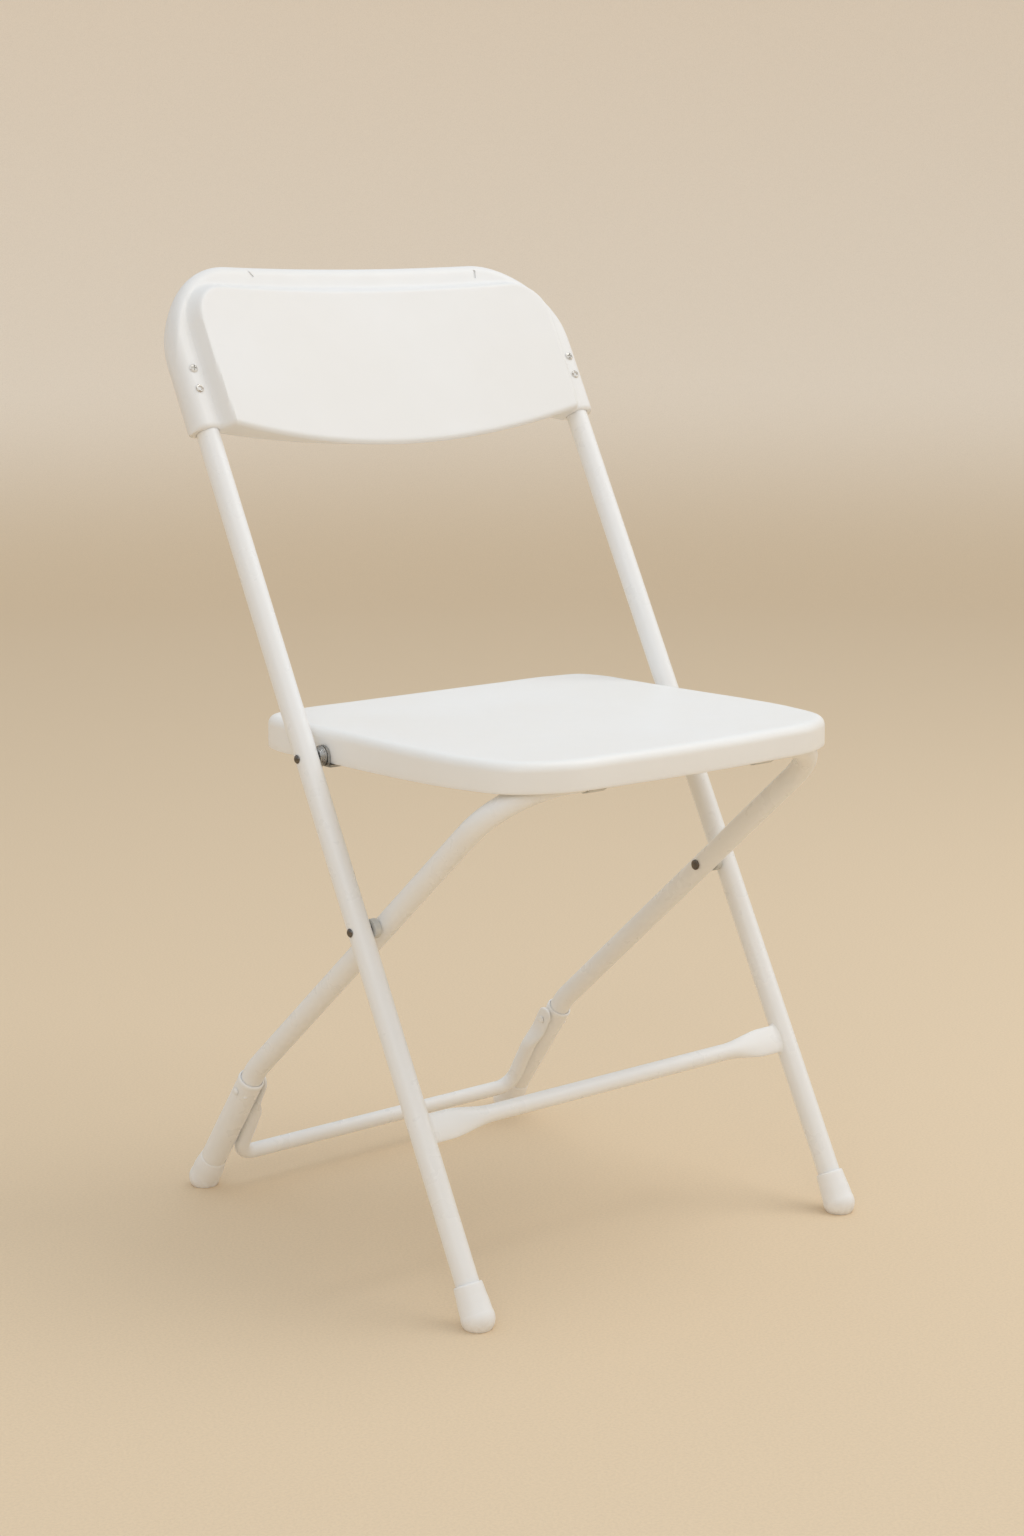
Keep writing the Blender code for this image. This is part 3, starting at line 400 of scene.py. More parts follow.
class Finish:
    """A Principled material whose colour, roughness and relief vary in the piece's own space."""

    def __init__(self, name):
        self.material = bpy.data.materials.new(name)
        self.material.use_nodes = True
        self.tree = self.material.node_tree
        self.shader = self.tree.nodes["Principled BSDF"]
        self.space = self.tree.nodes.new("ShaderNodeTexCoord").outputs["Object"]
        self.relief = None

    def add(self, kind, **settings):
        node = self.tree.nodes.new(kind)
        for name, value in settings.items():
            setattr(node, name, value)
        return node

    def feed(self, socket, value):
        if isinstance(value, bpy.types.NodeSocket):
            self.tree.links.new(value, socket)
        else:
            socket.default_value = value

    def stretched(self, scale):
        node = self.add("ShaderNodeMapping")
        self.feed(node.inputs["Vector"], self.space)
        node.inputs["Scale"].default_value = scale
        return node.outputs["Vector"]

    def noise(self, scale, detail=2.0, rough=0.5, space=None):
        node = self.add("ShaderNodeTexNoise")
        self.feed(node.inputs["Vector"], space or self.space)
        node.inputs["Scale"].default_value = scale
        node.inputs["Detail"].default_value = detail
        node.inputs["Roughness"].default_value = rough
        return node.outputs["Fac"]

    def cells(self, scale):
        node = self.add("ShaderNodeTexVoronoi")
        self.feed(node.inputs["Vector"], self.space)
        node.inputs["Scale"].default_value = scale
        return node.outputs["Distance"]

    def span(self, value, low, high, to_low=0.0, to_high=1.0):
        """The value, mapped from one range to another and held inside it."""
        node = self.add("ShaderNodeMapRange", interpolation_type="SMOOTHSTEP")
        names = ("Value", "From Min", "From Max", "To Min", "To Max")
        for name, given in zip(names, (value, low, high, to_low, to_high)):
            self.feed(node.inputs[name], given)
        return node.outputs["Result"]

    def times(self, a, b, kind="MULTIPLY"):
        node = self.add("ShaderNodeMath", operation=kind)
        self.feed(node.inputs[0], a)
        self.feed(node.inputs[1], b)
        return node.outputs["Value"]

    def blend(self, share, first, second):
        node = self.add("ShaderNodeMix", data_type="RGBA")
        self.feed(node.inputs[0], share)
        for socket, colour in ((node.inputs[6], first), (node.inputs[7], second)):
            self.feed(socket, colour if isinstance(colour, bpy.types.NodeSocket) else (*colour, 1))
        return node.outputs[2]

    def height(self):
        node = self.add("ShaderNodeSeparateXYZ")
        self.feed(node.inputs[0], self.space)
        return node.outputs["Z"]

    def edges(self, radius):
        """High within the radius of a sharp edge, where a rounded normal leaves the true one."""
        soft = self.add("ShaderNodeBevel")
        soft.inputs["Radius"].default_value = radius
        same = self.add("ShaderNodeVectorMath", operation="DOT_PRODUCT")
        self.feed(same.inputs[0], soft.outputs["Normal"])
        self.feed(same.inputs[1], self.add("ShaderNodeNewGeometry").outputs["Normal"])
        return self.span(same.outputs["Value"], 0.995, 0.90)

    def bump(self, height, distance, strength=1.0):
        node = self.add("ShaderNodeBump")
        self.feed(node.inputs["Height"], height)
        node.inputs["Distance"].default_value = distance
        node.inputs["Strength"].default_value = strength
        if self.relief:
            self.feed(node.inputs["Normal"], self.relief)
        self.relief = node.outputs["Normal"]

    def done(self, colour, roughness, metallic=0.0, specular=0.5):
        self.feed(self.shader.inputs["Base Color"], colour)
        self.feed(self.shader.inputs["Roughness"], roughness)
        self.shader.inputs["Metallic"].default_value = metallic
        self.shader.inputs["Specular IOR Level"].default_value = specular
        if self.relief:
            self.feed(self.shader.inputs["Normal"], self.relief)
        return self.material


def powder_coat(name, white):
    """Baked paint: faint orange peel, a little unevenness in tone and gloss, thinner paint on edges."""
    made = Finish(name)
    made.bump(made.noise(260, 2.0), 0.00006, 0.45)
    made.bump(made.noise(1100, 1.0), 0.00002, 0.35)
    warm = tuple(c * k for c, k in zip(white, (0.990, 0.984, 0.972)))
    tone = made.blend(made.span(made.noise(7, 4.0), 0.35, 0.7), white, warm)
    thin = made.times(made.edges(0.0005), made.span(made.noise(150, 3.0), 0.42, 0.62, 0.0, 0.30))
    tone = made.blend(thin, tone, (0.52, 0.50, 0.47))
    gloss = made.span(made.noise(45, 3.0), 0.3, 0.7, 0.26, 0.36)
    return made.done(tone, gloss)


def moulded(name, white, matt, grain=1.0, scuffs=0.5):
    """Moulded plastic: a fine matt grain, soft flow unevenness, and a few faint rubbed marks."""
    made = Finish(name)
    made.bump(made.noise(24, 2.0), 0.0004, 0.10)
    made.bump(made.cells(1500), 0.00003, 0.5 * grain)
    made.bump(made.noise(620, 3.0), 0.00003, 0.5 * grain)
    shade = tuple(c * k for c, k in zip(white, (0.988, 0.980, 0.966)))
    tone = made.blend(made.span(made.noise(5, 3.0), 0.35, 0.68), white, shade)
    rubbed = made.noise(30, 5.0, 0.7, made.stretched((1.0, 5.0, 2.0)))
    rubbed = made.span(rubbed, 0.60, 0.72, 0.0, scuffs)
    tone = made.blend(made.times(rubbed, 0.16), tone, tuple(c * 0.90 for c in white))
    worn = made.times(made.edges(0.0006), made.span(made.noise(120, 3.0), 0.40, 0.62, 0.0, 0.35))
    tone = made.blend(worn, tone, tuple(c * 0.86 for c in white))
    base = made.span(made.noise(60, 3.0), 0.3, 0.7, matt - 0.04, matt + 0.05)
    return made.done(tone, made.times(base, made.times(rubbed, -0.08), "ADD"))


def foot_plastic(name, white):
    """Cap plastic, dusty and scuffed towards the floor."""
    made = Finish(name)
    made.bump(made.noise(420, 3.0), 0.00004, 0.5)
    low = made.span(made.height(), 0.0, 0.014, 1.0, 0.0)
    dust = made.times(low, made.span(made.noise(240, 5.0, 0.65), 0.38, 0.62))
    tone = made.blend(made.span(made.noise(30, 3.0), 0.4, 0.7), white, tuple(c * 0.965 for c in white))
    tone = made.blend(made.times(dust, 0.22), tone, (0.60, 0.51, 0.40))
    worn = made.times(made.edges(0.0006), made.span(made.noise(200, 3.0), 0.40, 0.62, 0.0, 0.4))
    tone = made.blend(worn, tone, (0.66, 0.62, 0.56))
    return made.done(tone, made.span(dust, 0.0, 1.0, 0.42, 0.75))


def steel(name, tone, stain, rough=(0.28, 0.46), metal=1.0):
    """Plated steel with fine scratches and a brownish stain in patches."""
    made = Finish(name)
    scratch = made.noise(900, 4.0, 0.7, made.stretched((1.0, 1.0, 6.0)))
    made.bump(scratch, 0.00002, 0.6)
    patch = made.span(made.noise(420, 4.0, 0.6), 0.50, 0.66, 0.0, stain)
    colour = made.blend(made.span(made.noise(160, 3.0), 0.35, 0.65), tone, tuple(c * 0.80 for c in tone))
    colour = made.blend(patch, colour, (0.20, 0.115, 0.065))
    bright = made.times(made.edges(0.0003), 0.5)
    colour = made.blend(bright, colour, tuple(min(c * 1.25, 0.9) for c in tone))
    return made.done(colour, made.span(made.noise(300, 3.0), 0.3, 0.7, *rough), metallic=metal)


def nylon(name, tone):
    """Plain satin plastic of the glides and bushes."""
    made = Finish(name)
    made.bump(made.noise(700, 3.0), 0.00003, 0.5)
    colour = made.blend(made.span(made.noise(120, 4.0), 0.4, 0.7), tone, tuple(c * 0.88 for c in tone))
    colour = made.blend(made.times(made.edges(0.0004), 0.4), colour, tuple(c * 1.1 for c in tone))
    return made.done(colour, made.span(made.noise(90, 2.0), 0.3, 0.7, 0.42, 0.58))


def ground(name, tone, high_tone_with_painted_light):
    """Plain pale floor with a faint speckle, lighter where it curves up into the wall: partly the wall's own tone
    and partly painted light making up for the wall's weaker lighting.
    """
    made = Finish(name)
    made.bump(made.noise(380, 4.0, 0.6), 0.0006, 0.35)
    speckle = made.span(made.noise(420, 3.0, 0.7), 0.35, 0.70)
    # Painted light in part: the tone lightens with height into the wall tone, making up for the wall getting less
    # light.
    tone = made.blend(made.span(made.height(), 0.0, 0.5), tone, high_tone_with_painted_light)
    colour = made.blend(made.times(speckle, 0.12), tone, (0.35, 0.28, 0.20))
    return made.done(colour, 0.85, specular=0.2)


PAINT = powder_coat("white_powder_coat", (0.88, 0.885, 0.885))
BACK_PLASTIC = moulded("backrest_plastic", (0.84, 0.84, 0.835), 0.46)
SEAT_PLASTIC = moulded("seat_plastic", (0.89, 0.89, 0.88), 0.42, 0.8, 0.9)
CAP_PLASTIC = foot_plastic("cap_plastic", (0.89, 0.89, 0.885))
ZINC = steel("zinc_plate", (0.44, 0.44, 0.43), 0.35, (0.20, 0.34))
SCREW_STEEL = steel("screw_steel", (0.84, 0.82, 0.77), 0.60, (0.34, 0.48), 0.5)
DARK_STEEL = steel("dark_steel", (0.17, 0.155, 0.14), 0.30, (0.14, 0.24))
NYLON = nylon("off_white_nylon", (0.62, 0.62, 0.59))


def stand_for(obj, node, material):
    """The piece takes a CAD node's place: its body, and this material."""
    obj.data.materials.clear()
    obj.data.materials.append(material)
    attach(obj, BODY_OF[node])
    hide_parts(node)
    return obj


# ---------------------------------------------------------------- front frame


def make_uprights():
    start = FOOT_CENTRE_Z / UP.z + FOOT_BORE + 2 * GAP
    for side, sign in SIDES:
        path = [on_upright(sign * UPRIGHT_X, s) for s in steps(start, UPRIGHT_END - GAP, 24)]
        stand_for(swept(f"upright_{side}_tube", path, TUBE_R, TUBE_WALL), f"upright_{side}", PAINT)


def make_stretcher():
    """Round tube pressed into a tall blade at each end, with a small weld fillet against the uprights."""
    half = UPRIGHT_X
    stations = [(0.0, 0.0), (0.060, 0.0), (0.105, 0.0)]
    press = half - STRETCHER_PRESS_FROM
    stations += [(press + STRETCHER_PRESS_OVER * t, smooth(t)) for t in steps(0, 1, 16)]
    stations += [(half - 0.020, 1.0), (half - 0.0145, 1.0)]
    rings = []
    for x, flat in stations:
        rings.append(stretcher_ring(flat, 0.0, lambda n, x=x: x))
    fillet = ((0.0035, 0.0000), (0.0022, 0.0002), (0.0012, 0.0006), (0.0004, 0.0012), (-0.0002, 0.0017))
    for out, grow in fillet:
        rings.append(stretcher_ring(1.0, grow, lambda n, out=out: half - math.sqrt(TUBE_R**2 - n * n) - out))
    other_half = [[at_x(p, -p.x) for p in ring] for ring in rings[:0:-1]]
    stand_for(skin("front_stretcher_tube", other_half + rings), "front_stretcher", PAINT)


def stretcher_ring(flat, grow, place_x):
    """Oval section, from round (flat 0) to a blade (flat 1), whose distance across may follow its depth."""
    tall = STRETCHER_R + flat * STRETCHER_BLADE_GROW + grow
    thick = STRETCHER_R - flat * STRETCHER_BLADE_THIN + grow
    ring = []
    for i in range(56):
        turn = 2 * math.pi * i / 56
        n = thick * math.sin(turn)
        ring.append(on_upright(place_x(n), STRETCHER_S + tall * math.cos(turn), n))
    return ring


def make_foot(node, centre, axis, swell):
    """Cap over a tube's end: a thin lip, a neck that swells into a bulge, and a flat sole."""
    bore = TUBE_R + FOOT_LIP_GAP
    profile = [(bore, FOOT_BORE), (bore, FOOT_LENGTH - 0.0004), (bore + 0.0004, FOOT_LENGTH)]
    profile += [(FOOT_TOP_R - 0.0007, FOOT_LENGTH), (FOOT_TOP_R, FOOT_LENGTH - 0.0010)]
    profile += [(FOOT_TOP_R + 0.0002 + 0.2 * swell, 0.0225), (FOOT_TOP_R + 0.0004 + 0.8 * swell, 0.0180)]
    profile += [(FOOT_TOP_R + 0.0010 + 0.8 * swell, 0.0120)]
    profile = eased(profile, 0.0008)
    sweep = steps(math.radians(16), math.radians(-90), 40)
    profile += [(FOOT_R * math.cos(a), FOOT_R * math.sin(a)) for a in sweep]
    profile.append((0, FOOT_BORE))
    obj = turned(f"{node}_cap", profile, centre, axis, 72)
    for vertex in obj.data.vertices:
        vertex.co.z = max(vertex.co.z, 0.0)
    soften(obj, 40)
    stand_for(obj, node, CAP_PLASTIC)


def make_feet():
    front = on_upright(0, FOOT_CENTRE_Z / UP.z)
    for side, sign in SIDES:
        make_foot(f"front_foot_{side}", at_x(front, sign * UPRIGHT_X), UP, 0.0)
        make_foot(f"rear_foot_{side}", at_x(REAR_FOOT, sign * REAR_X), LOWER_UP, REAR_FOOT_SWELL)


# ---------------------------------------------------------------- backrest


def corner_drop(x, half_width, across, down):
    """How far an edge with an elliptical corner has fallen at this distance across."""
    past = max(abs(x) - (half_width - across), 0.0) / across
    return down * (1 - math.sqrt(max(1 - past * past, 0.0)))


def pad_inside(x, s):
    """Distance inside the raised pad's outline, negative outside it."""
    taper = PAD_TAPER * max(PAD_TAPER_S - s, 0.0)
    qx = abs(x) + taper - (PAD_HALF_W - PAD_CORNER)
    qs = s - (PAD_TOP - PAD_CORNER)
    outside = math.hypot(max(qx, 0.0), max(qs, 0.0)) + min(max(qx, qs), 0.0)
    return PAD_CORNER - outside


def back_front(x, s):
    """Front face of the backrest, forward of the uprights' plane: a ledge round a raised, hollowed pad."""
    across = min(abs(x) / UPRIGHT_X, 1.0)
    ledge = mix(*LEDGE_FRONT, across * across)
    pad = mix(*PAD_FRONT, (abs(x) / PAD_HALF_W) ** 2)
    return mix(ledge, pad, smooth((pad_inside(x, s) + PAD_EDGE_OUT) / PAD_EDGE_OVER))


def back_rear(x):
    """Rear face of the backrest, behind the uprights' plane."""
    across = min(abs(x) / UPRIGHT_X, 1.0)
    return mix(*BACK_REAR, across * across)


def back_loop(x):
    """Closed loop of (s, n) at one distance across: up the front, down the rear, and back below."""
    top = BACK_TOP - corner_drop(x, BACK_HALF_W, BACK_CORNER_X, BACK_CORNER_S)
    bow = max(1 - (x / PAD_HALF_W) ** 2, 0.0)
    lip = BACK_BOTTOM - BACK_LIP_DROP * bow
    heel = mix(BACK_BOTTOM, BACK_HEEL, smooth(bow * 6)) - BACK_HEEL_DROP * bow
    past = max(abs(x) - (BACK_HALF_W - BACK_EDGE), 0.0) / BACK_EDGE
    swell = math.sqrt(max(1 - past * past, 0.0))
    rear = back_rear(x)
    ease = BACK_LIP_ROUND

    def squeezed(s, n, front):
        middle = (front + rear) / 2
        return (s, mix(middle, n, swell))

    rows = 90
    crown = top - BACK_EDGE
    loop = []
    for s in steps(lip + ease, crown, rows):
        front = back_front(x, s)
        loop.append(squeezed(s, front, front))
    front = back_front(x, crown)
    middle, half = (front + rear) / 2, (front - rear) / 2 * swell
    for a in steps(0, math.pi, 16)[1:-1]:
        loop.append((crown + BACK_EDGE * math.sin(a), middle + half * math.cos(a)))
    for s, t in zip(steps(crown, heel + ease, rows), steps(crown, lip + ease, rows)):
        loop.append(squeezed(s, rear, back_front(x, t)))
    front = back_front(x, lip + ease)
    for a in steps(0, math.pi / 2, 5)[1:]:
        loop.append(squeezed(heel + ease * (1 - math.sin(a)), rear + ease * (1 - math.cos(a)), front))
    for t in steps(0, 1, 8)[1:-1]:
        loop.append(squeezed(mix(heel, lip, t), mix(rear + ease, front - ease, t), front))
    for a in steps(math.pi / 2, 0, 5)[:-1]:
        loop.append(squeezed(lip + ease * (1 - math.sin(a)), front - ease * (1 - math.cos(a)), front))
    return loop


def make_backrest():
    """Shell with sockets for the uprights and two short moulding marks on its top ledge."""
    inner = BACK_HALF_W - BACK_CORNER_X
    half = steps(0, inner, 56)
    half += [inner + BACK_CORNER_X * math.sin(a) for a in steps(0, math.pi / 2, 60)[1:]]
    rings = []
    for x in [-x for x in reversed(half[1:])] + half:
        rings.append([on_upright(x, s, n) for s, n in back_loop(x)])
    obj = skin("backrest_shell", rings)
    tools = []
    for side, sign in SIDES:
        x = sign * UPRIGHT_X
        bore = turned(
            f"cut_socket_{side}",
            [(0, 0), (TUBE_R + GAP, 0), (TUBE_R + GAP, SOCKET_DEPTH), (0, SOCKET_DEPTH)],
            on_upright(x, UPRIGHT_END - SOCKET_DEPTH + GAP), UP,
        )
        tools.append(bore)
    for x, s, lean in MARKS:
        n = back_front(x, s)
        along = (UP + Vector((-lean, 0, 0))).normalized()
        tools.append(block("cut_mark", on_upright(x, s, n), along, FORWARD, MARK_SIZE))
    stand_for(cut(obj, tools, 35), "backrest", BACK_PLASTIC)


# ---------------------------------------------------------------- fasteners


def domed(radius, height, count=8):
    """Profile of a low dome, from its middle out to its rim."""
    bend = (radius**2 + height**2) / (2 * height)
    reach = math.asin(radius / bend)
    return [(bend * math.sin(a), height - bend * (1 - math.cos(a))) for a in steps(0, reach, count)]


def rivet(node, head, dome, place, axis, shank, length, tail, material, tail_height=0.0012):
    """Solid rivet: a domed head beyond the place, a shank, and a flattened tail at its far end."""
    profile = domed(head, dome) + [(head, -HEAD_SEAT), (shank, -HEAD_SEAT)]
    profile += [(shank, -length), (tail, -length), (tail * 0.96, -length - tail_height * 0.6)]
    profile += [(tail * 0.7, -length - tail_height), (0, -length - tail_height)]
    stand_for(turned(f"{node}_pin", profile, place, axis, 40, sharp=50), node, material)


def cross_screw(node, head, dome, place, axis, shank, length, material, tail=0.0):
    """Pan-head screw with a cross recess."""
    profile = domed(head, dome) + [(head, 0.0), (shank, 0.0), (shank, -length)]
    if tail:
        profile += [(tail, -length), (tail, -length - 0.0010), (tail * 0.8, -length - 0.0012)]
        profile.append((0, -length - 0.0012))
    else:
        profile += [(0, -length)]
    obj = turned(f"{node}_pin", profile, place, axis, 40, sharp=50)
    across = axis.orthogonal().normalized()
    across = Matrix.Rotation(math.radians(27), 3, axis) @ across
    other = axis.cross(across)
    size = (head * 1.25, head * 0.34, dome * 2.4)
    crown = place + axis * dome
    tools = [block("cut_slot", crown, a, b, size) for a, b in ((across, other), (other, across))]
    stand_for(cut(obj, tools, 50), node, material)


def tubular_rivet(node, head, place, axis, shank, length, tail, material):
    """Rivet with an open, rolled head: a ring round a deep hole."""
    bore = head * 0.46
    profile = [(0, -0.0085), (bore * 0.9, -0.0085), (bore, -0.0004), (bore + 0.0003, 0.0004)]
    profile += [(head * 0.62, 0.0009), (head * 0.82, 0.0008), (head * 0.96, 0.0004), (head, 0.00005)]
    profile += [(head * 0.98, -HEAD_SEAT), (shank, -HEAD_SEAT)]
    profile += [(shank, -length), (tail, -length), (tail * 0.9, -length - 0.0011), (0, -length - 0.0011)]
    stand_for(turned(f"{node}_pin", profile, place, axis, 40, sharp=50), node, material)


def make_back_fasteners():
    """A screw above a tubular rivet on each side, right through the backrest."""
    for side, sign in SIDES:
        x = sign * BACK_FIX_X
        rear = back_rear(x - sign * 0.010) - GAP
        low, high = (on_upright(x, s, back_front(x, s) + GAP) for s in BACK_FIX_S)
        length = back_front(x, BACK_FIX_S[0]) + GAP - rear
        tubular_rivet(
            f"backrest_rivet_{side}", BACK_RIVET_HEAD, low, FORWARD,
            RIVET_SHANK_R, length, BACK_TAIL_R, SCREW_STEEL,
        )
        cross_screw(
            f"backrest_screw_{side}", BACK_SCREW_HEAD, 0.0011, high, FORWARD,
            SCREW_SHANK_R, length, SCREW_STEEL, BACK_TAIL_R,
        )


def make_pivot_fasteners():
    """The leg pivots' rivets and the seat pivots' bolts, with their domes on the uprights' outer sides."""
    across = Vector((1, 0, 0))
    for side, sign in SIDES:
        axis = across * sign
        outer = sign * (UPRIGHT_X + TUBE_R + GAP)
        length = UPRIGHT_X - REAR_X + 2 * (TUBE_R + GAP)
        rivet(
            f"leg_pivot_rivet_{side}", PIVOT_HEAD_R, 0.0018, at_x(LEG_PIVOT, outer), axis,
            PIVOT_PIN_R, length, 0.0046, DARK_STEEL, 0.0017,
        )
        ends = [abs(corner.x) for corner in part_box(f"seat_pivot_bolt_{side}")]
        dome = max(ends) - abs(outer)
        tip = min(ends) - abs(outer)
        profile = domed(PIVOT_HEAD_R, dome) + [(PIVOT_HEAD_R, -HEAD_SEAT), (PIVOT_PIN_R, -HEAD_SEAT)]
        profile += eased([(PIVOT_PIN_R, -0.0005), (PIVOT_PIN_R, tip), (0, tip)], 0.0005)
        bolt = turned(f"seat_pivot_bolt_{side}_pin", profile, at_x(SEAT_PIVOT, outer), axis, 40, sharp=50)
        stand_for(bolt, f"seat_pivot_bolt_{side}", DARK_STEEL)


def make_spacers():
    """The seat pivot's spacer has a stepped washer face; the leg pivot's is a plain nylon bush."""
    for side, sign in SIDES:
        low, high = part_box(f"seat_pivot_spacer_{side}")
        inner = min(abs(low.x), abs(high.x))
        length = high.x - low.x
        bore = PIVOT_BORE_R
        profile = [(bore, 0), (bore, length), (0.0055, length), (0.0058, 0.0036), (0.0058, 0.0031)]
        profile += [(0.0066, 0.0029), (0.0066, 0.0022), (0.0074, 0.0020), (0.0074, 0.0014)]
        profile += [(0.0085, 0.0012), (0.0085, 0.0), (bore, 0)]
        obj = turned(
            f"seat_pivot_spacer_{side}_barrel", eased(profile, 0.0003)[:-1],
            at_x(SEAT_PIVOT, sign * inner), Vector((sign, 0, 0)), 56, closed=True,
        )
        stand_for(obj, f"seat_pivot_spacer_{side}", ZINC)
        low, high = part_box(f"leg_pivot_spacer_{side}")
        inner = min(abs(low.x), abs(high.x))
        length = high.x - low.x
        outer = (high.z - low.z) / 2
        profile = [(bore, 0), (bore, length), (outer, length), (outer, 0), (bore, 0)]
        obj = turned(
            f"leg_pivot_spacer_{side}_bush", eased(profile, 0.0004)[:-1],
            at_x(LEG_PIVOT, sign * inner), Vector((sign, 0, 0)), 56, closed=True,
        )
        stand_for(obj, f"leg_pivot_spacer_{side}", NYLON)


def make_hidden_screws():
    """Screws under the seat, driven upwards."""
    down = Vector((0, 0, -1))
    for node in sorted(frame["nodes"]):
        if not node.startswith(("bracket_screw", "guide_screw")):
            continue
        low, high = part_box(node)
        dome = HIDDEN_SCREW_DOME
        place = Vector(((low.x + high.x) / 2, (low.y + high.y) / 2, low.z + dome))
        length = high.z - low.z - dome
        cross_screw(node, HIDDEN_SCREW_HEAD, dome, place, down, SCREW_SHANK_R, length, ZINC)


# ---------------------------------------------------------------- rear frame


def mirrored(half):
    """The half path, continued back through its mirror image."""
    return half + [at_x(p, -p.x) for p in reversed(half)]


def make_rear_legs():
    """One bent tube: up one leg, across under the seat, and down the other."""
    foot_end = REAR_FOOT + LOWER_UP * (FOOT_BORE + 2 * GAP)
    half = [at_x(place, REAR_X) for place in (foot_end, LEG_BEND, BAR)]
    radii = (LEG_BEND_R, BAR_BEND_R, BAR_BEND_R, LEG_BEND_R)
    path = rounded_path(mirrored(half), radii, (10, 28, 28, 10))
    stand_for(swept("rear_leg_tube", path, TUBE_R, TUBE_WALL), "rear_leg_frame", PAINT)


def make_sleeves():
    """Sleeve over each lower leg, with a small lip at its top and a round pip on its front."""
    length = (LEG_BEND - REAR_FOOT).length - SLEEVE_TOP - FOOT_LENGTH - GAP
    bore = TUBE_R + GAP
    lip = SLEEVE_R + SLEEVE_LIP
    profile = [(bore, -length), (bore, 0), (bore + 0.0005, 0), (lip - 0.0004, -0.0006), (lip, -0.0018)]
    profile += [(lip, -0.0036), (SLEEVE_R, -0.0062), (SLEEVE_R, -length), (bore, -length)]
    for side, sign in SIDES:
        top = at_x(LEG_BEND - LOWER_UP * SLEEVE_TOP, sign * REAR_X)
        line = eased(profile, 0.0005)[:-1]
        obj = turned(f"rear_leg_sleeve_{side}_tube", line, top, LOWER_UP, 56, closed=True)
        rearward = LOWER_UP.cross(Vector((1, 0, 0)))
        face = (Vector((sign * 0.60, 0, 0)) + rearward * -0.80).normalized()
        pip = turned(
            f"pip_{side}", [(0, -PIP_ROOT), (PIP_R, -PIP_ROOT)] + domed(PIP_R, PIP_RISE)[::-1],
            at_x(BRACE_RIVET, sign * REAR_X) + face * (SLEEVE_R - PIP_SINK), face, 24,
        )
        stand_for(cut(obj, [pip], 35, "UNION"), f"rear_leg_sleeve_{side}", PAINT)


def brace_ring(middle, out, wide_way, thick, wide):
    """Oval section of the brace, with its half sizes outward and along its width."""
    turns = [2 * math.pi * i / 48 for i in range(48)]
    return [middle + out * (thick * math.cos(a)) + wide_way * (wide * math.sin(a)) for a in turns]


def brace_rings(outer, low, top):
    """Rings from the right end to the left: pressed flat against the leg at each end, and round between."""
    across = Vector((1, 0, 0))
    rise = (top - low).normalized()
    wide_way = across.cross(rise)
    rings = []
    flat_end = BRACE_FLAT_FROM + BRACE_FLAT_OVER
    for drop in steps(0, BRACE_FLAT_W, 14)[:-1] + steps(BRACE_FLAT_W, flat_end, 20):
        flat = 1 - smooth((drop - BRACE_FLAT_FROM) / BRACE_FLAT_OVER)
        short = max(1 - drop / BRACE_FLAT_W, 0.0)
        width = math.sqrt(max(1 - short**2, 0.0008))
        thin = mix(1.0, BRACE_TIP_THIN, smooth(1 - drop / BRACE_TIP_EASE))
        thick = mix(BRACE_R, BRACE_FLAT_T, flat) * thin
        wide = mix(BRACE_R, BRACE_FLAT_W, flat) * width
        place = outer - mix(BRACE_R, BRACE_FLAT_T, flat)
        rings.append(brace_ring(at_x(top - rise * drop, place), across, wide_way, thick, wide))
    centre = at_x(low + rise * BRACE_BEND_R, outer - BRACE_R - BRACE_BEND_R)
    for turn in steps(0, math.pi / 2, 16):
        out = across * math.cos(turn) - rise * math.sin(turn)
        rings.append(brace_ring(centre + out * BRACE_BEND_R, out, wide_way, BRACE_R, BRACE_R))
    for x in (0.11, 0.075, 0.04, 0.012):
        rings.append(brace_ring(at_x(low, x), -rise, wide_way, BRACE_R, BRACE_R))
    return rings + [[at_x(point, -point.x) for point in ring] for ring in reversed(rings)]


def make_brace():
    """Low cross tube with upturned, flattened ends, and the two rivets that hold them."""
    outer = REAR_X - SLEEVE_R - GAP
    low_corner, high_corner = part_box("rear_brace")
    low = Vector((0, high_corner.y - BRACE_R, low_corner.z + BRACE_R))
    top = BRACE_RIVET + (BRACE_RIVET - low).normalized() * BRACE_END
    obj = skin("rear_brace_tube", brace_rings(outer, low, top))
    stand_for(obj, "rear_brace", PAINT)
    for side, sign in SIDES:
        head = REAR_X + SLEEVE_R + GAP
        length = head - (outer - 2 * BRACE_FLAT_T - GAP)
        rivet(
            f"brace_rivet_{side}", BRACE_RIVET_HEAD, 0.0011, at_x(BRACE_RIVET, sign * head),
            Vector((sign, 0, 0)), RIVET_SHANK_R, length, BRACE_RIVET_HEAD, PAINT,
        )


# ---------------------------------------------------------------- seat


def smooth_outline(points, per_span):
    """Curve through the points, mirrored to a closed loop, with tangents from their neighbours."""
    half = [Vector((x, f)) for x, f in points]
    loop = half + [Vector((-p.x, p.y)) for p in reversed(half[1:-1])]
    count = len(loop)
    gaps = [(loop[(i + 1) % count] - loop[i]).length for i in range(count)]
    made = []
    for i in range(count):
        p0, p1, p2, p3 = (loop[(i + k) % count] for k in (-1, 0, 1, 2))
        d0, d1, d2 = gaps[i - 1], gaps[i], gaps[(i + 1) % count]
        t1 = ((p1 - p0) / d0 * d1 + (p2 - p1) / d1 * d0) / (d0 + d1) * d1
        t2 = ((p2 - p1) / d1 * d2 + (p3 - p2) / d2 * d1) / (d1 + d2) * d1
        for k in range(per_span):
            t = k / per_span
            made.append(
                p1 * (2 * t**3 - 3 * t**2 + 1) + t1 * (t**3 - 2 * t**2 + t)
                + p2 * (3 * t**2 - 2 * t**3) + t2 * (t**3 - t**2)
            )
    return made


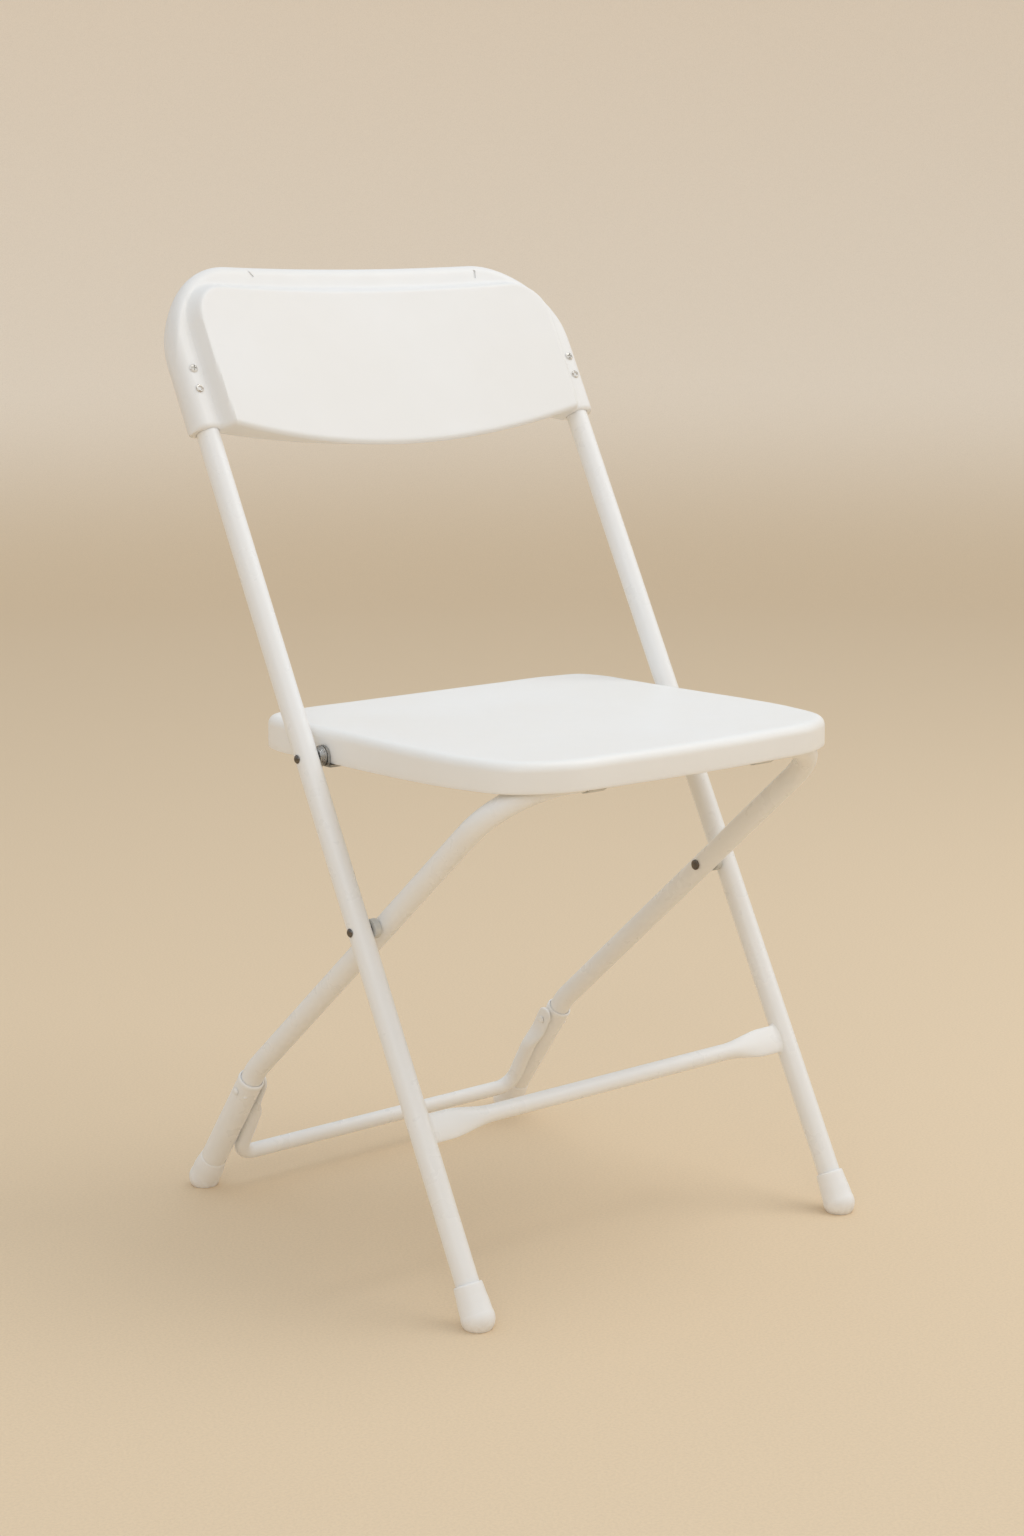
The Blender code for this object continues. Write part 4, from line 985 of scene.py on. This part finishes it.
def inset_loop(loop, distance):
    """The loop moved inwards by the distance, along its own normals."""
    count = len(loop)
    moved = []
    for i, point in enumerate(loop):
        along = (loop[(i + 1) % count] - loop[i - 1]).normalized()
        moved.append(point + Vector((-along.y, along.x)) * distance)
    return moved


def seat_sheet(loop, inset, height, dish, shares):
    """Rings from an inset of the loop in to the seat's middle, sinking into a shallow dish."""
    inner = inset_loop(loop, inset)
    rings = []
    for share in shares:
        level = height - dish * smooth((1 - share) / SEAT_DISH_REACH)
        rings.append([on_seat(p.x * share, mix(SEAT_MIDDLE, p.y, share), level) for p in inner])
    return rings


def make_seat():
    """Shell with a rounded rim, a skirt, and a hollow beneath."""
    loop = smooth_outline(SEAT_OUTLINE, 14)
    under = SEAT_TOP - SEAT_WALL
    shares = steps(1, 0, 26)[:-1]
    rings = seat_sheet(loop, SEAT_FLAT_INSET, SEAT_TOP, SEAT_DISH, shares)[::-1]
    for a in steps(0, math.pi / 2, 10):
        inset = SEAT_ROUND * (1 - math.sin(a))
        height = SEAT_TOP - SEAT_ROUND * (1 - math.cos(a))
        rings.append([on_seat(p.x, p.y, height) for p in inset_loop(loop, inset)])
    lower = [(0.0, SEAT_RIM + 0.0060), (0.0, SEAT_RIM + 0.0012)]
    lower += [(0.0003, SEAT_RIM + 0.0004), (0.0010, SEAT_RIM)]
    lower += [(SEAT_WALL - 0.0010, SEAT_RIM), (SEAT_WALL - 0.0003, SEAT_RIM + 0.0004)]
    lower += [(SEAT_WALL, SEAT_RIM + 0.0012), (SEAT_WALL, under - 0.0060)]
    for inset, height in lower:
        ring = []
        for p in inset_loop(loop, inset):
            share = min(max((SEAT_RIM + 0.006 - height) / 0.0048, 0.0), 1.0)
            ring.append(on_seat(p.x, p.y, height + share * SEAT_RIM_RISE * smooth(p.y / SEAT_FRONT)))
        rings.append(ring)
    for a in steps(0, math.pi / 2, 6)[1:]:
        inset = SEAT_WALL + SEAT_UNDER_ROUND * (1 - math.cos(a))
        height = under - 0.0058 + SEAT_UNDER_ROUND * math.sin(a)
        rings.append([on_seat(p.x, p.y, height) for p in inset_loop(loop, inset)])
    rings += seat_sheet(loop, SEAT_UNDER_INSET, under - 0.0008, SEAT_DISH - 0.0008, shares)
    stand_for(skin("seat_shell", rings, sharp=35), "seat", SEAT_PLASTIC)


def dress_plain_nodes():
    """CAD nodes that keep their own shape, with eased edges and a finish."""
    finishes = {"seat_bracket": ZINC, "seat_pivot_nut": ZINC, "bar_guide": NYLON, "bar_glide": NYLON}
    for prefix, material in finishes.items():
        for side, _ in SIDES:
            node = frame["nodes"][f"{prefix}_{side}"]
            node.data.materials.clear()
            node.data.materials.append(material)
            bevel = node.modifiers.new("eased_edges", "BEVEL")
            bevel.width = 0.0003
            bevel.segments = 2
            bevel.limit_method = "ANGLE"
            bevel.angle_limit = math.radians(40)


# ---------------------------------------------------------------- studio


def make_stage():
    """Round pale floor that curves up into a low wall, seamless from every side."""
    profile = [(0.0, 0.0), (1.5, 0.0), (3.0, 0.0), (FLOOR_FLAT_R, 0.0)]
    for a in steps(0, math.pi / 2, 24)[1:]:
        profile.append((FLOOR_FLAT_R + FLOOR_CURVE_R * math.sin(a), FLOOR_CURVE_R * (1 - math.cos(a))))
    profile.append((FLOOR_FLAT_R + FLOOR_CURVE_R, WALL_TOP))
    around = 96
    points, faces = [], []
    for radius, height in profile:
        for i in range(around):
            turn = 2 * math.pi * i / around
            points.append((radius * math.cos(turn), radius * math.sin(turn), height))
    for r in range(len(profile) - 1):
        for i in range(around):
            j = (i + 1) % around
            faces.append((r * around + i, r * around + j, (r + 1) * around + j, (r + 1) * around + i))
    mesh = bpy.data.meshes.new("studio_floor")
    mesh.from_pydata(points, [], faces)
    mesh.shade_smooth()
    floor = bpy.data.objects.new("studio_floor", mesh)
    bpy.context.scene.collection.objects.link(floor)
    mesh.materials.append(ground("pale_floor", FLOOR_TONE, WALL_TONE_WITH_PAINTED_LIGHT))


def area_light(name, place, target, size, power, colour):
    """Soft round light at a place, turned to a target."""
    light = bpy.data.lights.new(name, "AREA")
    light.shape = "DISK"
    light.size = size
    light.energy = power
    light.color = colour
    obj = bpy.data.objects.new(name, light)
    bpy.context.scene.collection.objects.link(obj)
    obj.location = place
    obj.rotation_mode = "QUATERNION"
    obj.rotation_quaternion = (Vector(target) - Vector(place)).to_track_quat("-Z", "Y")


def make_lights():
    for light in LIGHTS:
        area_light(*light)
    world = bpy.data.worlds.new("sky")
    world.use_nodes = True
    sky = world.node_tree.nodes["Background"]
    sky.inputs["Color"].default_value = (*COOL, 1)
    sky.inputs["Strength"].default_value = SKY_STRENGTH
    bpy.context.scene.world = world
    bpy.context.scene.view_settings.view_transform = "Standard"


def make_camera():
    data = bpy.data.cameras.new("camera")
    data.lens = CAMERA_LENS
    data.clip_start = 0.05
    camera = bpy.data.objects.new("camera", data)
    bpy.context.scene.collection.objects.link(camera)
    camera.location = CAMERA_PLACE
    turn = Vector(CAMERA_BACK).to_track_quat("Z", "Y").to_matrix() @ Matrix.Rotation(CAMERA_ROLL, 3, "Z")
    camera.rotation_mode = "QUATERNION"
    camera.rotation_quaternion = turn.to_quaternion()
    bpy.context.scene.camera = camera


# ---------------------------------------------------------------- the chair

make_camera()
make_stage()
make_lights()
make_uprights()
make_stretcher()
make_feet()
make_backrest()
make_back_fasteners()
make_pivot_fasteners()
make_spacers()
make_rear_legs()
make_sleeves()
make_brace()
make_seat()
make_hidden_screws()
dress_plain_nodes()
